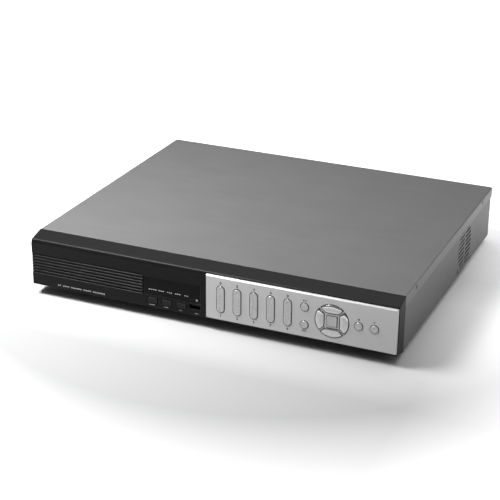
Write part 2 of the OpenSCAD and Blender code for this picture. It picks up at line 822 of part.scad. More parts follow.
module front_usb_place() translate([front_usb[0], 0.4, front_usb[1]]) children();

module usb_shells() {
    color("silver") in_place() {
        front_usb_place() usb_shell();
        rear_usb_places() translate([0, case_d + 0.5, 0]) rotate([0, 0, 180]) usb_shell();
    }
}

module usb_tongues() {
    color("white") in_place() {
        front_usb_place() usb_tongue();
        rear_usb_places() translate([0, case_d + 0.5, 0]) rotate([0, 0, 180]) usb_tongue();
    }
}

network_w = 15.8;
network_h = 13.4;
network_mouth_w = 11.8;
network_mouth_h = 8.6;
network_d = 18;

module network_port() {
    z = board_z + board_t;
    color("silver") in_place() difference() {
        slab_y(case_d + 0.6 - network_d, network_d) translate([network_x, z + network_h / 2])
            square([network_w, network_h], center = true);
        slab_y(case_d + 0.6 - 13, 14)
            translate([network_x, z + 2 + network_mouth_h / 2])
                square([network_mouth_w, network_mouth_h], center = true);
        slab_y(case_d + 0.6 - 13, 14)
            translate([network_x, z + 1.2]) square([6, 2], center = true);
    }
}

vga_w = 16.9;
vga_h = 8.4;
vga_z = z_case + 16 + board_t + 1;
vga_screw = 12.5;

module vga_outline(grow) {
    w = vga_w / 2 + grow;
    h = vga_h / 2 + grow;
    polygon([[-w, h], [w, h], [w - 1.5, -h], [1.5 - w, -h]]);
}

module vga_shell() {
    color("silver") in_place() {
        difference() {
            union() {
                slab_y(case_d, 0.8) translate([vga_x, vga_z]) rounded(30.8, 12.5, 1);
                slab_y(case_d + 0.4, 5.6) translate([vga_x, vga_z]) vga_outline(0);
            }
            slab_y(case_d - 1, 8) translate([vga_x, vga_z]) vga_outline(-0.4);
            slab_y(case_d - 1, 3) for (s = [-1, 1])
                translate([vga_x + s * vga_screw, vga_z]) circle(r = 1.6);
        }
        // Threaded jack screws hold the shell to the panel.
        for (s = [-1, 1]) translate([vga_x + s * vga_screw, case_d + 0.8, vga_z]) rotate([-90, 0, 0])
            difference() {
                union() {
                    cylinder(r = 2.9, h = 5, $fn = 6);
                    translate([0, 0, -5]) cylinder(r = 1.5, h = 5 + eps);
                }
                translate([0, 0, 1]) cylinder(r = 1.3, h = 5);
            }
    }
}

module vga_insert() {
    color("royalblue") in_place() difference() {
        union() {
            slab_y(case_d - 8, 13.4) translate([vga_x, vga_z]) vga_outline(-0.4 - fit);
            slab_y(case_d - 14, 6.5) translate([vga_x, (board_z + board_t + vga_z + 5) / 2])
                square([30, vga_z + 5 - board_z - board_t], center = true);
        }
        slab_y(case_d + 1, 6) for (row = [-1:1], i = [0:4])
            translate([vga_x + (i - 2) * 2.29 + row * 0.57, vga_z + row * 1.98]) circle(r = 0.5);
    }
}

terminal_z = board_z + board_t + 0.4;
terminal_h = 11;

module alarm_terminals() {
    color("seagreen") in_place() difference() {
        slab_y(case_d - 10, 13)
            span(terminal_right - terminal_w, terminal_right, terminal_z, terminal_z + terminal_h);
        for (i = [0:terminal_n - 1]) {
            x = terminal_right - 1 - terminal_pitch * (i + 0.5);
            slab_y(case_d - 5, 9) translate([x, terminal_z + 3.6]) square([2.5, 3], center = true);
            slab_y(case_d - 1, 5) translate([x, terminal_z + 8.4]) circle(r = 1.1);
        }
    }
}

// ---- Bayonet video jacks ----

// A thread behind the barrel takes the nut, which passes over the lugs.
thread_r = 6.3;
thread_reach = 3.4;
jack_flange_r = 7.5;
jack_inner_r = 4.05;
contact_r = 1.1;
lug_r = 1;
lug_from_tip = 4.2;
// The barrel is thinner from its lugs back, where the plug's sleeve only passes.
relief = 0.25;

module video_jacks() {
    tip_y = case_d + jack_reach;
    lug_y = tip_y - lug_from_tip;
    seat_y = lug_y + lug_r;
    color("lightgray") in_place() jack_places() {
        lathe_y() polygon([
            [2.8, rear_y - 12], [jack_flange_r, rear_y - 12], [jack_flange_r, rear_y - 0.2],
            [thread_r, rear_y - 0.2], [thread_r, case_d + thread_reach],
            [jack_r - relief, case_d + thread_reach], [jack_r - relief, seat_y], [jack_r, seat_y],
            [jack_r, tip_y - 0.4], [jack_r - 0.4, tip_y], [jack_inner_r, tip_y],
            [jack_inner_r, case_d + 3], [2.8, case_d + 3]
        ]);
        for (s = [0, 180]) rotate([0, 45 + s, 0]) translate([jack_r - 0.5, lug_y, 0])
            rotate([0, 90, 0]) cylinder(r = lug_r, h = 1.2);
    }
}

module jack_nuts() {
    color("silver") in_place() jack_places() translate([0, case_d, 0]) rotate([-90, 0, 0])
        difference() {
            rotate([0, 0, 30]) cylinder(r = nut_flats / sqrt(3), h = 2.4, $fn = 6);
            translate([0, 0, -1]) cylinder(r = thread_r + fit, h = 5);
        }
}

module jack_insulators() {
    color("white") in_place() jack_places() lathe_y() polygon([
        [contact_r + fit, rear_y - 12], [2.8 - fit, rear_y - 12], [2.8 - fit, case_d + 3 + fit],
        [2.4, case_d + 3 + fit], [2.4, case_d + jack_reach - 4], [contact_r + fit, case_d + jack_reach - 4]
    ]);
}

module jack_contacts() {
    color("gold") in_place() jack_places() lathe_y() polygon([
        [0, rear_y - 15], [contact_r, rear_y - 15], [contact_r, case_d + jack_reach - 5],
        [0.7, case_d + jack_reach - 5], [0.7, case_d + jack_reach - 10], [0, case_d + jack_reach - 10]
    ]);
}

// The jacks' contacts are soldered into an upright board behind them.
module jack_board() {
    color("darkgreen") in_place() difference() {
        slab_y(rear_y - 12 - board_t, board_t)
            span(out_x - 9, inner_x - 3, board_z + board_t, jack_z + jack_rise + 8);
        translate([0, rear_y - 13 - board_t, 0]) jack_places() rotate([-90, 0, 0])
            cylinder(r = contact_r + fit, h = board_t + 2);
    }
}

module phono_jacks() {
    color("goldenrod") in_place() phono_places() difference() {
        lathe_y() polygon([
            [1.65, rear_y - 10], [5.2, rear_y - 10], [5.2, rear_y - 0.2],
            [phono_r - relief, rear_y - 0.2], [phono_r - relief, case_d + 0.6],
            [phono_r, case_d + 0.6], [phono_r, case_d + 8.6], [phono_r - 0.5, case_d + 9.2],
            [1.65, case_d + 9.2]
        ]);
        // A ring of space between the collar and the insulator's nose.
        translate([0, case_d + 6, 0]) rotate([-90, 0, 0]) difference() {
            cylinder(r = 3.4, h = 5);
            translate([0, 0, -1]) cylinder(r = 2.6, h = 7);
        }
    }
}

// ---- Mains inlet and switch ----

inlet_w = 27.4;
inlet_h = 20;
inlet_mouth_w = 24.2;
inlet_mouth_h = 16.6;
inlet_depth = 17;
inlet_flange_w = 50;
inlet_flange_t = 2.4;
inlet_blade_in = 2;
inlet_ears = 20;

module power_inlet() {
    color([0.06, 0.06, 0.06]) in_place() difference() {
        union() {
            slab_y(case_d, inlet_flange_t) translate([inlet_x, inlet_z])
                rounded(inlet_flange_w, inlet_h + 2.6, 3);
            slab_y(case_d - 21, 21 + eps) translate([inlet_x, inlet_z])
                square([inlet_w, inlet_h], center = true);
        }
        slab_y(case_d + inlet_flange_t - inlet_depth, inlet_depth + 1) translate([inlet_x, inlet_z]) polygon([
            [-inlet_mouth_w / 2, -inlet_mouth_h / 2], [inlet_mouth_w / 2, -inlet_mouth_h / 2],
            [inlet_mouth_w / 2, inlet_mouth_h / 2 - 3.6], [inlet_mouth_w / 2 - 4, inlet_mouth_h / 2],
            [4 - inlet_mouth_w / 2, inlet_mouth_h / 2], [-inlet_mouth_w / 2, inlet_mouth_h / 2 - 3.6]
        ]);
        slab_y(case_d - 25, 20) inlet_blade_outlines(fit);
        for (s = [-1, 1]) translate([inlet_x + s * inlet_ears, case_d - 1, inlet_z])
            rotate([-90, 0, 0]) cylinder(r = 1.7, h = 5);
    }
}

module inlet_blade_outlines(grow) {
    for (p = [[-7, -2], [0, 2.4], [7, -2]])
        translate([inlet_x + p[0], inlet_z + p[1]]) square([2 + 2 * grow, 4 + 2 * grow], center = true);
}

module inlet_blades() {
    color("silver") in_place() slab_y(case_d - 27, 27 - inlet_blade_in) inlet_blade_outlines(0);
}

switch_w = 15;
switch_h = 21;
switch_flange_t = 1.6;
switch_cavity_w = 10.4;
switch_cavity_r = 8.6;
rocker_r = 8.2;
trunnion_r = 1;
trunnion_reach = 1.2;

module power_switch_frame() {
    color([0.06, 0.06, 0.06]) in_place() difference() {
        union() {
            slab_y(case_d, switch_flange_t) translate([switch_x, inlet_z]) rounded(switch_w, switch_h, 1.5);
            slab_y(case_d - 19, 19 + eps) translate([switch_x, inlet_z])
                square([switch_w - 2, switch_h - 2], center = true);
        }
        slab_y(case_d - 11, 14) translate([switch_x, inlet_z])
            square([switch_cavity_w, 2 * switch_cavity_r], center = true);
        // Blind holes in the cheeks for the rocker's trunnions.
        translate([switch_x, rocker_pivot_y, inlet_z]) rotate([0, 90, 0])
            cylinder(r = trunnion_r + fit, h = switch_cavity_w + 2, center = true);
    }
}

// The rocker's outside is a shallow V, and its ends are arcs about its pivot.
module power_switch_rocker() {
    w = switch_cavity_w - 0.8;
    front = case_d + switch_flange_t - rocker_pivot_y;
    color([0.1, 0.1, 0.1]) in_place() translate([switch_x, rocker_pivot_y, inlet_z])
        rotate([switch_rest, 0, 0]) {
            slab_x(-w / 2, w) intersection() {
                circle(r = rocker_r);
                polygon([
                    [-5, -3], [-5, 3], [-2, rocker_r], [front + 1.2, rocker_r], [front - 0.2, 0],
                    [front + 1.2, -rocker_r], [-2, -rocker_r]
                ]);
            }
            rotate([0, 90, 0]) cylinder(r = trunnion_r, h = w + 2 * trunnion_reach, center = true);
        }
}

// ---- Main board and power supply ----

module main_board_outline() {
    // The corner beside the fan is left open.
    polygon([
        [main_left, main_front], [fan_out_x - fan_t - fan_clear, main_front],
        [fan_out_x - fan_t - fan_clear, fan_y + fan_size / 2 + fan_clear],
        [main_right, fan_y + fan_size / 2 + fan_clear], [main_right, main_back], [main_left, main_back]
    ]);
}

function main_spacers() = [
    [main_left + 6, main_front + 6], [main_left + 6, main_back - 22],
    [main_left + main_w * 0.5, main_front + 6], [main_left + main_w * 0.5, main_back - 26],
    [fan_out_x - fan_t - fan_clear - 6, main_front + 6], [main_right - 5, main_back - 24]
];

function supply_spacers() = [for (x = [5, supply_w - 5], y = [5, supply_d - 5])
    [supply_left + x, supply_back - supply_d + y]];

module spacer_places() {
    for (p = concat(main_spacers(), supply_spacers())) translate([p[0], p[1], 0]) children();
}

module main_board() {
    color("darkgreen") in_place() difference() {
        slab_z(board_z, board_t) main_board_outline();
        for (p = main_spacers())
            translate([p[0], p[1], board_z - 1]) cylinder(r = board_hole_r, h = board_t + 2);
    }
}

module board_spacers() {
    color("gold") in_place() spacer_places() translate([0, 0, z_floor]) difference() {
        cylinder(r = 2.9, h = spacer_h, $fn = 6);
        translate([0, 0, 1]) cylinder(r = board_pilot_r, h = spacer_h);
    }
}

module board_screws() {
    color("silver") in_place() {
        spacer_places() translate([0, 0, board_z + board_t]) rotate([180, 0, 0])
            pan_screw(r = board_screw_r, length = board_t + 3, head_r = board_screw_head_r);
        key_board_boss_places() translate([0, key_board_y + board_t, 0]) rotate([90, 0, 0])
            pan_screw(r = board_screw_r, length = board_t + 3, head_r = board_screw_head_r);
    }
}

module board_chips() {
    z = board_z + board_t;
    color([0.1, 0.1, 0.1]) in_place() {
        // Video decoders in a row behind the jacks.
        for (i = [0:3]) translate([main_left + 150 + i * 26, main_back - 62, z]) cube([14, 14, 1.6]);
        // Memory chips beside the processor.
        for (i = [0:3]) translate([main_left + 40 + i * 15, main_front + 14, z]) cube([10, 14, 1.2]);
        translate([main_left + 52, main_front + 40, z]) cube([27, 27, 2.2]);
        translate([main_left + 24, main_back - 46, z]) cube([12, 12, 1.6]);
    }
}

module heat_sink() {
    z = board_z + board_t + 2.2;
    color("silver") in_place() translate([main_left + 48, main_front + 36, z]) {
        cube([35, 35, 3]);
        for (i = [0:7]) translate([i * 4.75, 0, 3 - eps]) cube([1.6, 35, 9]);
    }
}

module coin_cell() {
    color("silver") in_place() translate([main_left + 120, main_front + 26, board_z + board_t]) {
        cylinder(r = 11.5, h = 2);
        translate([0, 0, 2]) cylinder(r = 10, h = 3);
    }
}

module power_supply() {
    z = board_z + board_t;
    color("peru") in_place() translate([supply_left, supply_back - supply_d, 0]) {
        difference() {
            translate([0, 0, board_z]) cube([supply_w, supply_d, board_t]);
            for (x = [5, supply_w - 5], y = [5, supply_d - 5])
                translate([x, y, board_z - 1]) cylinder(r = board_hole_r, h = board_t + 2);
        }
        // Transformer, smoothing capacitors, line filter and two cooling plates.
        translate([supply_w * 0.35, supply_d * 0.35, z - eps]) cube([30, 28, 24]);
        for (p = [[16, 38], [16, 60]]) translate([p[0], p[1], z - eps]) cylinder(r = 9, h = 30);
        for (i = [0:2]) translate([supply_w - 14, 30 + i * 20, z - eps]) cylinder(r = 5, h = 20);
        translate([14, supply_d - 34, z - eps]) cube([22, 20, 20]);
        translate([supply_w * 0.3, supply_d - 26, z - eps]) translate([16, 0, 0]) cube([40, 3, 30]);
        translate([supply_w * 0.3, 14, z - eps]) cube([50, 3, 30]);
    }
}

// ---- Hard drive ----

module drive_screw_places() {
    for (s = [0, 1], y = [16, 60, 118])
        translate([drive_x + s * drive_w, drive_y + y, drive_z + 6.4]) rotate([0, s ? -90 : 90, 0])
            children();
}

module hard_drive() {
    color("silver") in_place() difference() {
        union() {
            translate([drive_x, drive_y, drive_z]) cube([drive_w, drive_d, drive_h - 1]);
            translate([drive_x + 3, drive_y + 3, drive_z]) cube([drive_w - 6, drive_d - 6, drive_h]);
        }
        drive_screw_places() translate([0, 0, -1]) cylinder(r = pilot_r, h = 6);
        // Notch for the data and power plugs.
        translate([drive_x + 12, drive_y + drive_d - 8, drive_z - 1]) cube([48, 9, 7]);
    }
}

module drive_bracket() {
    x0 = drive_x - sheet - 0.3;
    w = drive_w + 2 * sheet + 0.6;
    color("lightgray") in_place() difference() {
        union() {
            translate([x0, drive_y + 4, z_floor]) cube([w, drive_d - 20, sheet]);
            for (x = [x0, x0 + w - sheet])
                translate([x, drive_y + 4, z_floor]) cube([sheet, drive_d - 20, 22]);
            for (s = [0, 1]) translate([s ? x0 + w - eps : x0 - 10, drive_y + 4, z_floor])
                cube([10 + eps, drive_d - 20, sheet]);
        }
        drive_screw_places() translate([0, 0, -5]) cylinder(r = screw_hole_r + 0.2, h = 10);
        translate([x0 + 18, drive_y + 20, z_floor - 1]) cube([w - 36, drive_d - 52, sheet + 2]);
    }
}

module drive_screws() {
    color("silver") in_place() drive_screw_places() translate([0, 0, -sheet - 0.3])
        pan_screw(length = 5.5);
}

// A flat data cable and a flat power cable from the drive's rear notch to the boards.
module drive_cables() {
    y0 = drive_y + drive_d - 6;
    z0 = drive_z + 1;
    color("firebrick") in_place() {
        translate([drive_x + 14, y0, z0]) cube([16, 10, 4.4]);
        slab_x(drive_x + 18, 8) polygon([
            [y0 + 10 - eps, z0 + 1], [y0 + 20, z0 + 1], [main_front + 16, board_z + board_t + 12],
            [main_front + 16, board_z + board_t], [main_front + 18, board_z + board_t],
            [main_front + 18, board_z + board_t + 13.5], [y0 + 20, z0 + 2.6], [y0 + 10 - eps, z0 + 2.6]
        ]);
        translate([drive_x + 34, y0, z0]) cube([24, 10, 4.4]);
        slab_x(drive_x + 38, 16) polygon([
            [y0 + 10 - eps, z0 + 1], [y0 + 20, z0 + 1], [main_front + 10, board_z + board_t + 12],
            [main_front + 10, board_z + board_t], [main_front + 12, board_z + board_t],
            [main_front + 12, board_z + board_t + 13.5], [y0 + 20, z0 + 2.6], [y0 + 10 - eps, z0 + 2.6]
        ]);
    }
}

// ---- Side fan ----

module fan_frame() {
    color([0.1, 0.1, 0.1]) in_place() difference() {
        union() {
            slab_x(fan_out_x - fan_t, fan_t) translate([fan_y, fan_z]) difference() {
                rounded(fan_size, fan_size, 4);
                circle(r = fan_bore_r);
            }
            // The motor's seat and its four struts, on the side away from the wall.
            slab_x(fan_out_x - fan_t, 2.5) translate([fan_y, fan_z]) {
                circle(r = hub_r + 1);
                for (a = [45:90:315]) rotate(a) translate([0, -1.5]) square([fan_bore_r + 1, 3]);
            }
            // The shaft that the rotor turns on.
            translate([fan_out_x - fan_t, fan_y, fan_z]) rotate([0, 90, 0]) cylinder(r = 1.5, h = fan_t - 4);
        }
        fan_screw_places() cylinder(r = fan_screw_r + 0.3, h = wall_x - fan_out_x + fan_t + 1);
    }
}

module fan_rotor() {
    depth = fan_t - 5.5;
    blade_t = 1.4;
    color([0.16, 0.16, 0.17]) in_place() translate([fan_out_x - 1.5 - depth, fan_y, fan_z])
        difference() {
            union() {
                slab_x(0, depth) circle(r = hub_r);
                intersection() {
                    slab_x(0, depth) circle(r = blade_tip_r);
                    for (i = [0:blade_n - 1]) rotate([i * 360 / blade_n, 0, 0]) translate([depth / 2, 0, 0])
                        rotate([0, 0, 38]) translate([-depth, -blade_t / 2, hub_r - 2])
                            cube([2 * depth, blade_t, blade_tip_r - hub_r + 4]);
                }
            }
            translate([-1, 0, 0]) rotate([0, 90, 0]) cylinder(r = 1.5 + fit, h = depth);
        }
}

module fan_screws() {
    color("silver") in_place() fan_screw_places()
        flush_screw(r = fan_screw_r, length = 12, head_r = fan_head_r);
}

base_tray();
rear_panel();
top_cover();
case_screws();
front_bezel();
control_panel();
display_window();
indicator_lamps();
rubber_feet();
foot_screws();
number_key(0);  // number_key_0_1
number_key(1);  // number_key_2_3
number_key(2);  // number_key_4_5
number_key(3);  // number_key_6_7
number_key(4);  // number_key_8_9
round_button(pair_x, pair_high_z, "silver");  // escape_button
round_button(pair_x, pair_low_z, "silver");  // menu_button
nav_key(0);  // nav_key_up
nav_key(90);  // nav_key_left
nav_key(180);  // nav_key_down
nav_key(270);  // nav_key_right
enter_button();
round_button(record_x, nav_z, "silver");  // record_button
round_button(play_x, nav_z, "silver");  // play_button
function_key(0);  // function_key_left
function_key(1);  // function_key_middle
function_key(2);  // function_key_right
usb_shells();
usb_tongues();
key_board();
key_switches();
ribbon_cable();
video_jacks();
jack_nuts();
jack_insulators();
jack_contacts();
jack_board();
phono_jacks();
vga_shell();
vga_insert();
network_port();
alarm_terminals();
power_inlet();
inlet_blades();
power_switch_frame();
power_switch_rocker();
main_board();
board_chips();
heat_sink();
coin_cell();
board_spacers();
board_screws();
power_supply();
hard_drive();
drive_bracket();
drive_screws();
drive_cables();
fan_frame();
fan_rotor();
fan_screws();
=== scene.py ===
"""The recorder's outside looks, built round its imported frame, with one button for each group of pieces."""

import math

import bmesh
import bpy
import numpy as np
from mathutils import Matrix, Vector
from mathutils.geometry import delaunay_2d_cdt


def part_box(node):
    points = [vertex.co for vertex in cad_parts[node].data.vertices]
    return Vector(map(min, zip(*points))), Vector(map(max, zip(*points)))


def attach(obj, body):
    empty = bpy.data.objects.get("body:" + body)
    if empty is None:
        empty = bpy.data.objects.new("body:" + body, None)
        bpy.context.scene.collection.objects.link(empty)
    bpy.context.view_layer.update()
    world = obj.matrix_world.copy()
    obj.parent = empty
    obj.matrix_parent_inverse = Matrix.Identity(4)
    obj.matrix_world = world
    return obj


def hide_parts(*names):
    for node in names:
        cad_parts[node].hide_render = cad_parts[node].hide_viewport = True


bl_info = {
    "name": "Video recorder looks",
    "version": (1, 0, 0),
    "blender": (4, 5, 0),
    "location": "3D View > Sidebar > Recorder",
    "description": "Builds a video recorder's bezel, keys, case, sockets and studio round its frame",
    "category": "Add Mesh",
}

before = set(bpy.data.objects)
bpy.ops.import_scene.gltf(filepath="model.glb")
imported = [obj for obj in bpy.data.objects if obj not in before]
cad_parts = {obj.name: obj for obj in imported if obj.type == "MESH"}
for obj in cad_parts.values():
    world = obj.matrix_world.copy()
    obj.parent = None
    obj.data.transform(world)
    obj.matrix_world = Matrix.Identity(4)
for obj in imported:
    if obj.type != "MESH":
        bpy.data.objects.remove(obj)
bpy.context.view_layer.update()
MM = 0.001


# ---- Sizes and colours that a user may change ----


def length(label, text, millimetres):
    """A length property, given in millimetres."""
    return bpy.props.FloatProperty(
        name=label, description=text, default=millimetres * MM, min=0, unit="LENGTH", precision=5
    )


def colour(label, text, *rgb):
    """A colour property."""
    return bpy.props.FloatVectorProperty(
        name=label, description=text, default=rgb, min=0, max=1, size=3, subtype="COLOR"
    )


class RecorderSizes(bpy.types.PropertyGroup):
    """Lengths that the frame's boxes don't give."""

    end_round: length("Bezel end radius", "Rounding of the bezel's left and right ends", 0.9)
    chin_round: length("Chin radius", "Rounding between the bezel's chin and its face", 1.2)
    face_round: length("Face radius", "Rounding between the face and the lip above it", 2.4)
    brow_round: length("Brow radius", "Rounding between the lip and the sloping brow", 3.2)
    bezel_wall: length("Bezel wall", "Thickness of the bezel's wall", 2.6)
    groove_edge: length("Groove edge radius", "Rounding of the grooves' upper edges", 0.12)
    key_gap: length("Key gap", "Gap round a key in its hole", 0.55)
    key_edge: length("Key edge radius", "Rounding of the keys' front edges", 0.85)
    hole_edge: length("Hole edge radius", "Rounding of the panel round each key", 0.25)
    fold: length("Fold radius", "Outside radius of the cover's folds", 1.8)
    sheet: length("Sheet thickness", "Thickness of the steel cover", 1.0)
    print_height: length("Print height", "Thickness of the printed marks", 0.04)
    digit: length("Digit height", "Height of the numbers beside the keys", 2.9)


class RecorderColours(bpy.types.PropertyGroup):
    """Base colours of the main finishes."""

    lid: colour("Cover paint", "Satin paint of the cover", 0.128, 0.128, 0.13)
    tray: colour("Tray paint", "Satin paint of the tray and the rear panel", 0.10, 0.10, 0.102)
    bezel: colour("Bezel plastic", "Moulded bezel", 0.005, 0.005, 0.0051)
    silver: colour("Silver paint", "Control panel", 0.50, 0.50, 0.50)
    keys: colour("Key paint", "Keys on the control panel", 0.46, 0.46, 0.46)
    window: colour("Window tint", "Smoked display window", 0.003, 0.0028, 0.0028)
    marks: colour("White print", "Marks on the black bezel", 0.50, 0.50, 0.50)
    floor: colour("Floor", "Studio floor", 0.86, 0.86, 0.865)


def sizes():
    """The sizes in millimetres, by name."""
    group = bpy.context.scene.recorder_sizes
    return {key: getattr(group, key) / MM for key in RecorderSizes.__annotations__}


def tint(name):
    """A colour property as RGBA."""
    return (*getattr(bpy.context.scene.recorder_colours, name), 1.0)


# ---- Places in the frame, in millimetres ----


def box(*nodes):
    """Lowest and highest corner of one or more CAD nodes."""
    corners = np.array([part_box(node) for node in nodes]) / MM
    return corners[:, 0].min(0), corners[:, 1].max(0)


def middle(node):
    """Centre of a CAD node's box."""
    return np.mean(box(node), 0)


# ---- Outlines: arrays of points (u, v), run round anticlockwise ----


def unit(v):
    """Each row scaled to length one."""
    return v / np.maximum(np.linalg.norm(v, axis=-1, keepdims=True), 1e-12)


def rounded(corners, radius, steps=6):
    """A closed outline whose corners are arcs: centre = corner + bisector * radius / sin(half angle)."""
    c = np.asarray(corners, float)
    r = np.broadcast_to(np.asarray(radius, float), (len(c),))[:, None]
    before, after = unit(np.roll(c, 1, 0) - c), unit(np.roll(c, -1, 0) - c)
    half = np.arccos(np.clip((before * after).sum(1, keepdims=True), -1, 1)) / 2
    centre = c + unit(before + after) * r / np.sin(half)
    start = c + before * r / np.tan(half) - centre
    side = np.sign(after[:, :1] * before[:, 1:] - after[:, 1:] * before[:, :1])
    a = side * (math.pi - 2 * half) * np.linspace(0, 1, steps + 1)
    x = start[:, :1] * np.cos(a) - start[:, 1:] * np.sin(a)
    y = start[:, :1] * np.sin(a) + start[:, 1:] * np.cos(a)
    return (centre[:, None] + np.stack([x, y], -1)).reshape(-1, 2)


def rectangle(u0, u1, v0, v1, radius=0.3, steps=4):
    """A rectangle with rounded corners."""
    return rounded([(u0, v0), (u1, v0), (u1, v1), (u0, v1)], radius, steps)


def circle(u, v, radius, count=40):
    """A circle as evenly spaced points."""
    a = np.linspace(0, 2 * math.pi, count, endpoint=False)
    return np.stack([u + radius * np.cos(a), v + radius * np.sin(a)], -1)


def stadium(u, v, width, height, steps=16):
    """An upright bar with half-round ends."""
    r = width / 2 - 1e-4
    return rectangle(u - width / 2, u + width / 2, v - height / 2, v + height / 2, r, steps)


def offset(loop, distance):
    """The outline moved outwards: each point goes along the mitre of its two sides' normals."""
    ahead, behind = unit(np.roll(loop, -1, 0) - loop), unit(loop - np.roll(loop, 1, 0))
    a = np.stack([ahead[:, 1], -ahead[:, 0]], -1)
    b = np.stack([behind[:, 1], -behind[:, 0]], -1)
    mitre = (a + b) / np.maximum((1 + (a * b).sum(1, keepdims=True)), 0.2)
    return loop + distance * mitre


def inside(points, loop):
    """Which points lie within an outline, by the even number of sides that a ray crosses."""
    (px, py), (ax, ay) = points.T[:, :, None], loop.T[:, None]
    bx, by = np.roll(loop, -1, 0).T[:, None]
    crosses = (ay > py) != (by > py)
    at = ax + (py - ay) * (bx - ax) / np.where(by == ay, 1e-12, by - ay)
    return (crosses & (px < at)).sum(1) % 2 == 1


def arc(radius, steps=4):
    """A quarter round as (inset, depth), from the flat front to the side."""
    a = np.linspace(0, math.pi / 2, steps + 1)
    return np.stack([radius * (1 - np.sin(a)), radius * (1 - np.cos(a))], -1)


def to_front(y):
    """How (u, v, depth) becomes (x, y, z) when seen from the front: depth runs backwards from y."""
    return lambda u, v, w: np.stack([u, y + w, v], -1)


def to_rear(y):
    """How (u, v, depth) becomes (x, y, z) when seen from behind: depth runs forwards from y."""
    return lambda u, v, w: np.stack([-u, y - w, v], -1)


def soft_edge(edge, steps):
    """A quarter round from the side to the flat front: inset edge * (1 - cos), drop edge * (1 - sin)."""
    t = np.linspace(0, math.pi / 2, steps + 1)
    return edge * (1 - np.cos(t)), edge * (1 - np.sin(t))


def drawn_in(x, z, width, height, insets, radius, steps):
    """Rectangles drawn in from an outer one, whose corner radius falls to nothing at half the height."""
    w, h = width / 2, height / 2
    return np.array([
        rectangle(x - w + d, x + w - d, z - h + d, z + h - d, radius * (1 - d / h), steps) for d in insets
    ])


# ---- Meshes ----


def add_piece(name, mesh, material, angle, bevel=0):
    """An object for a mesh: edges over the angle stay sharp, or are rounded where bevel gives millimetres."""
    mesh.materials.clear()
    mesh.materials.append(material)
    mesh.shade_smooth()
    mesh.set_sharp_from_angle(angle=math.radians(angle))
    piece = bpy.data.objects.new(name, mesh)
    bpy.context.scene.collection.objects.link(piece)
    if bevel:
        broken = piece.modifiers.new("Broken edges", "BEVEL")
        broken.width, broken.segments, broken.limit_method = bevel * MM, 2, "ANGLE"
        broken.angle_limit = math.radians(angle)
        broken.harden_normals = False
    even = piece.modifiers.new("Even shading", "WEIGHTED_NORMAL")
    even.keep_sharp = True
    return piece


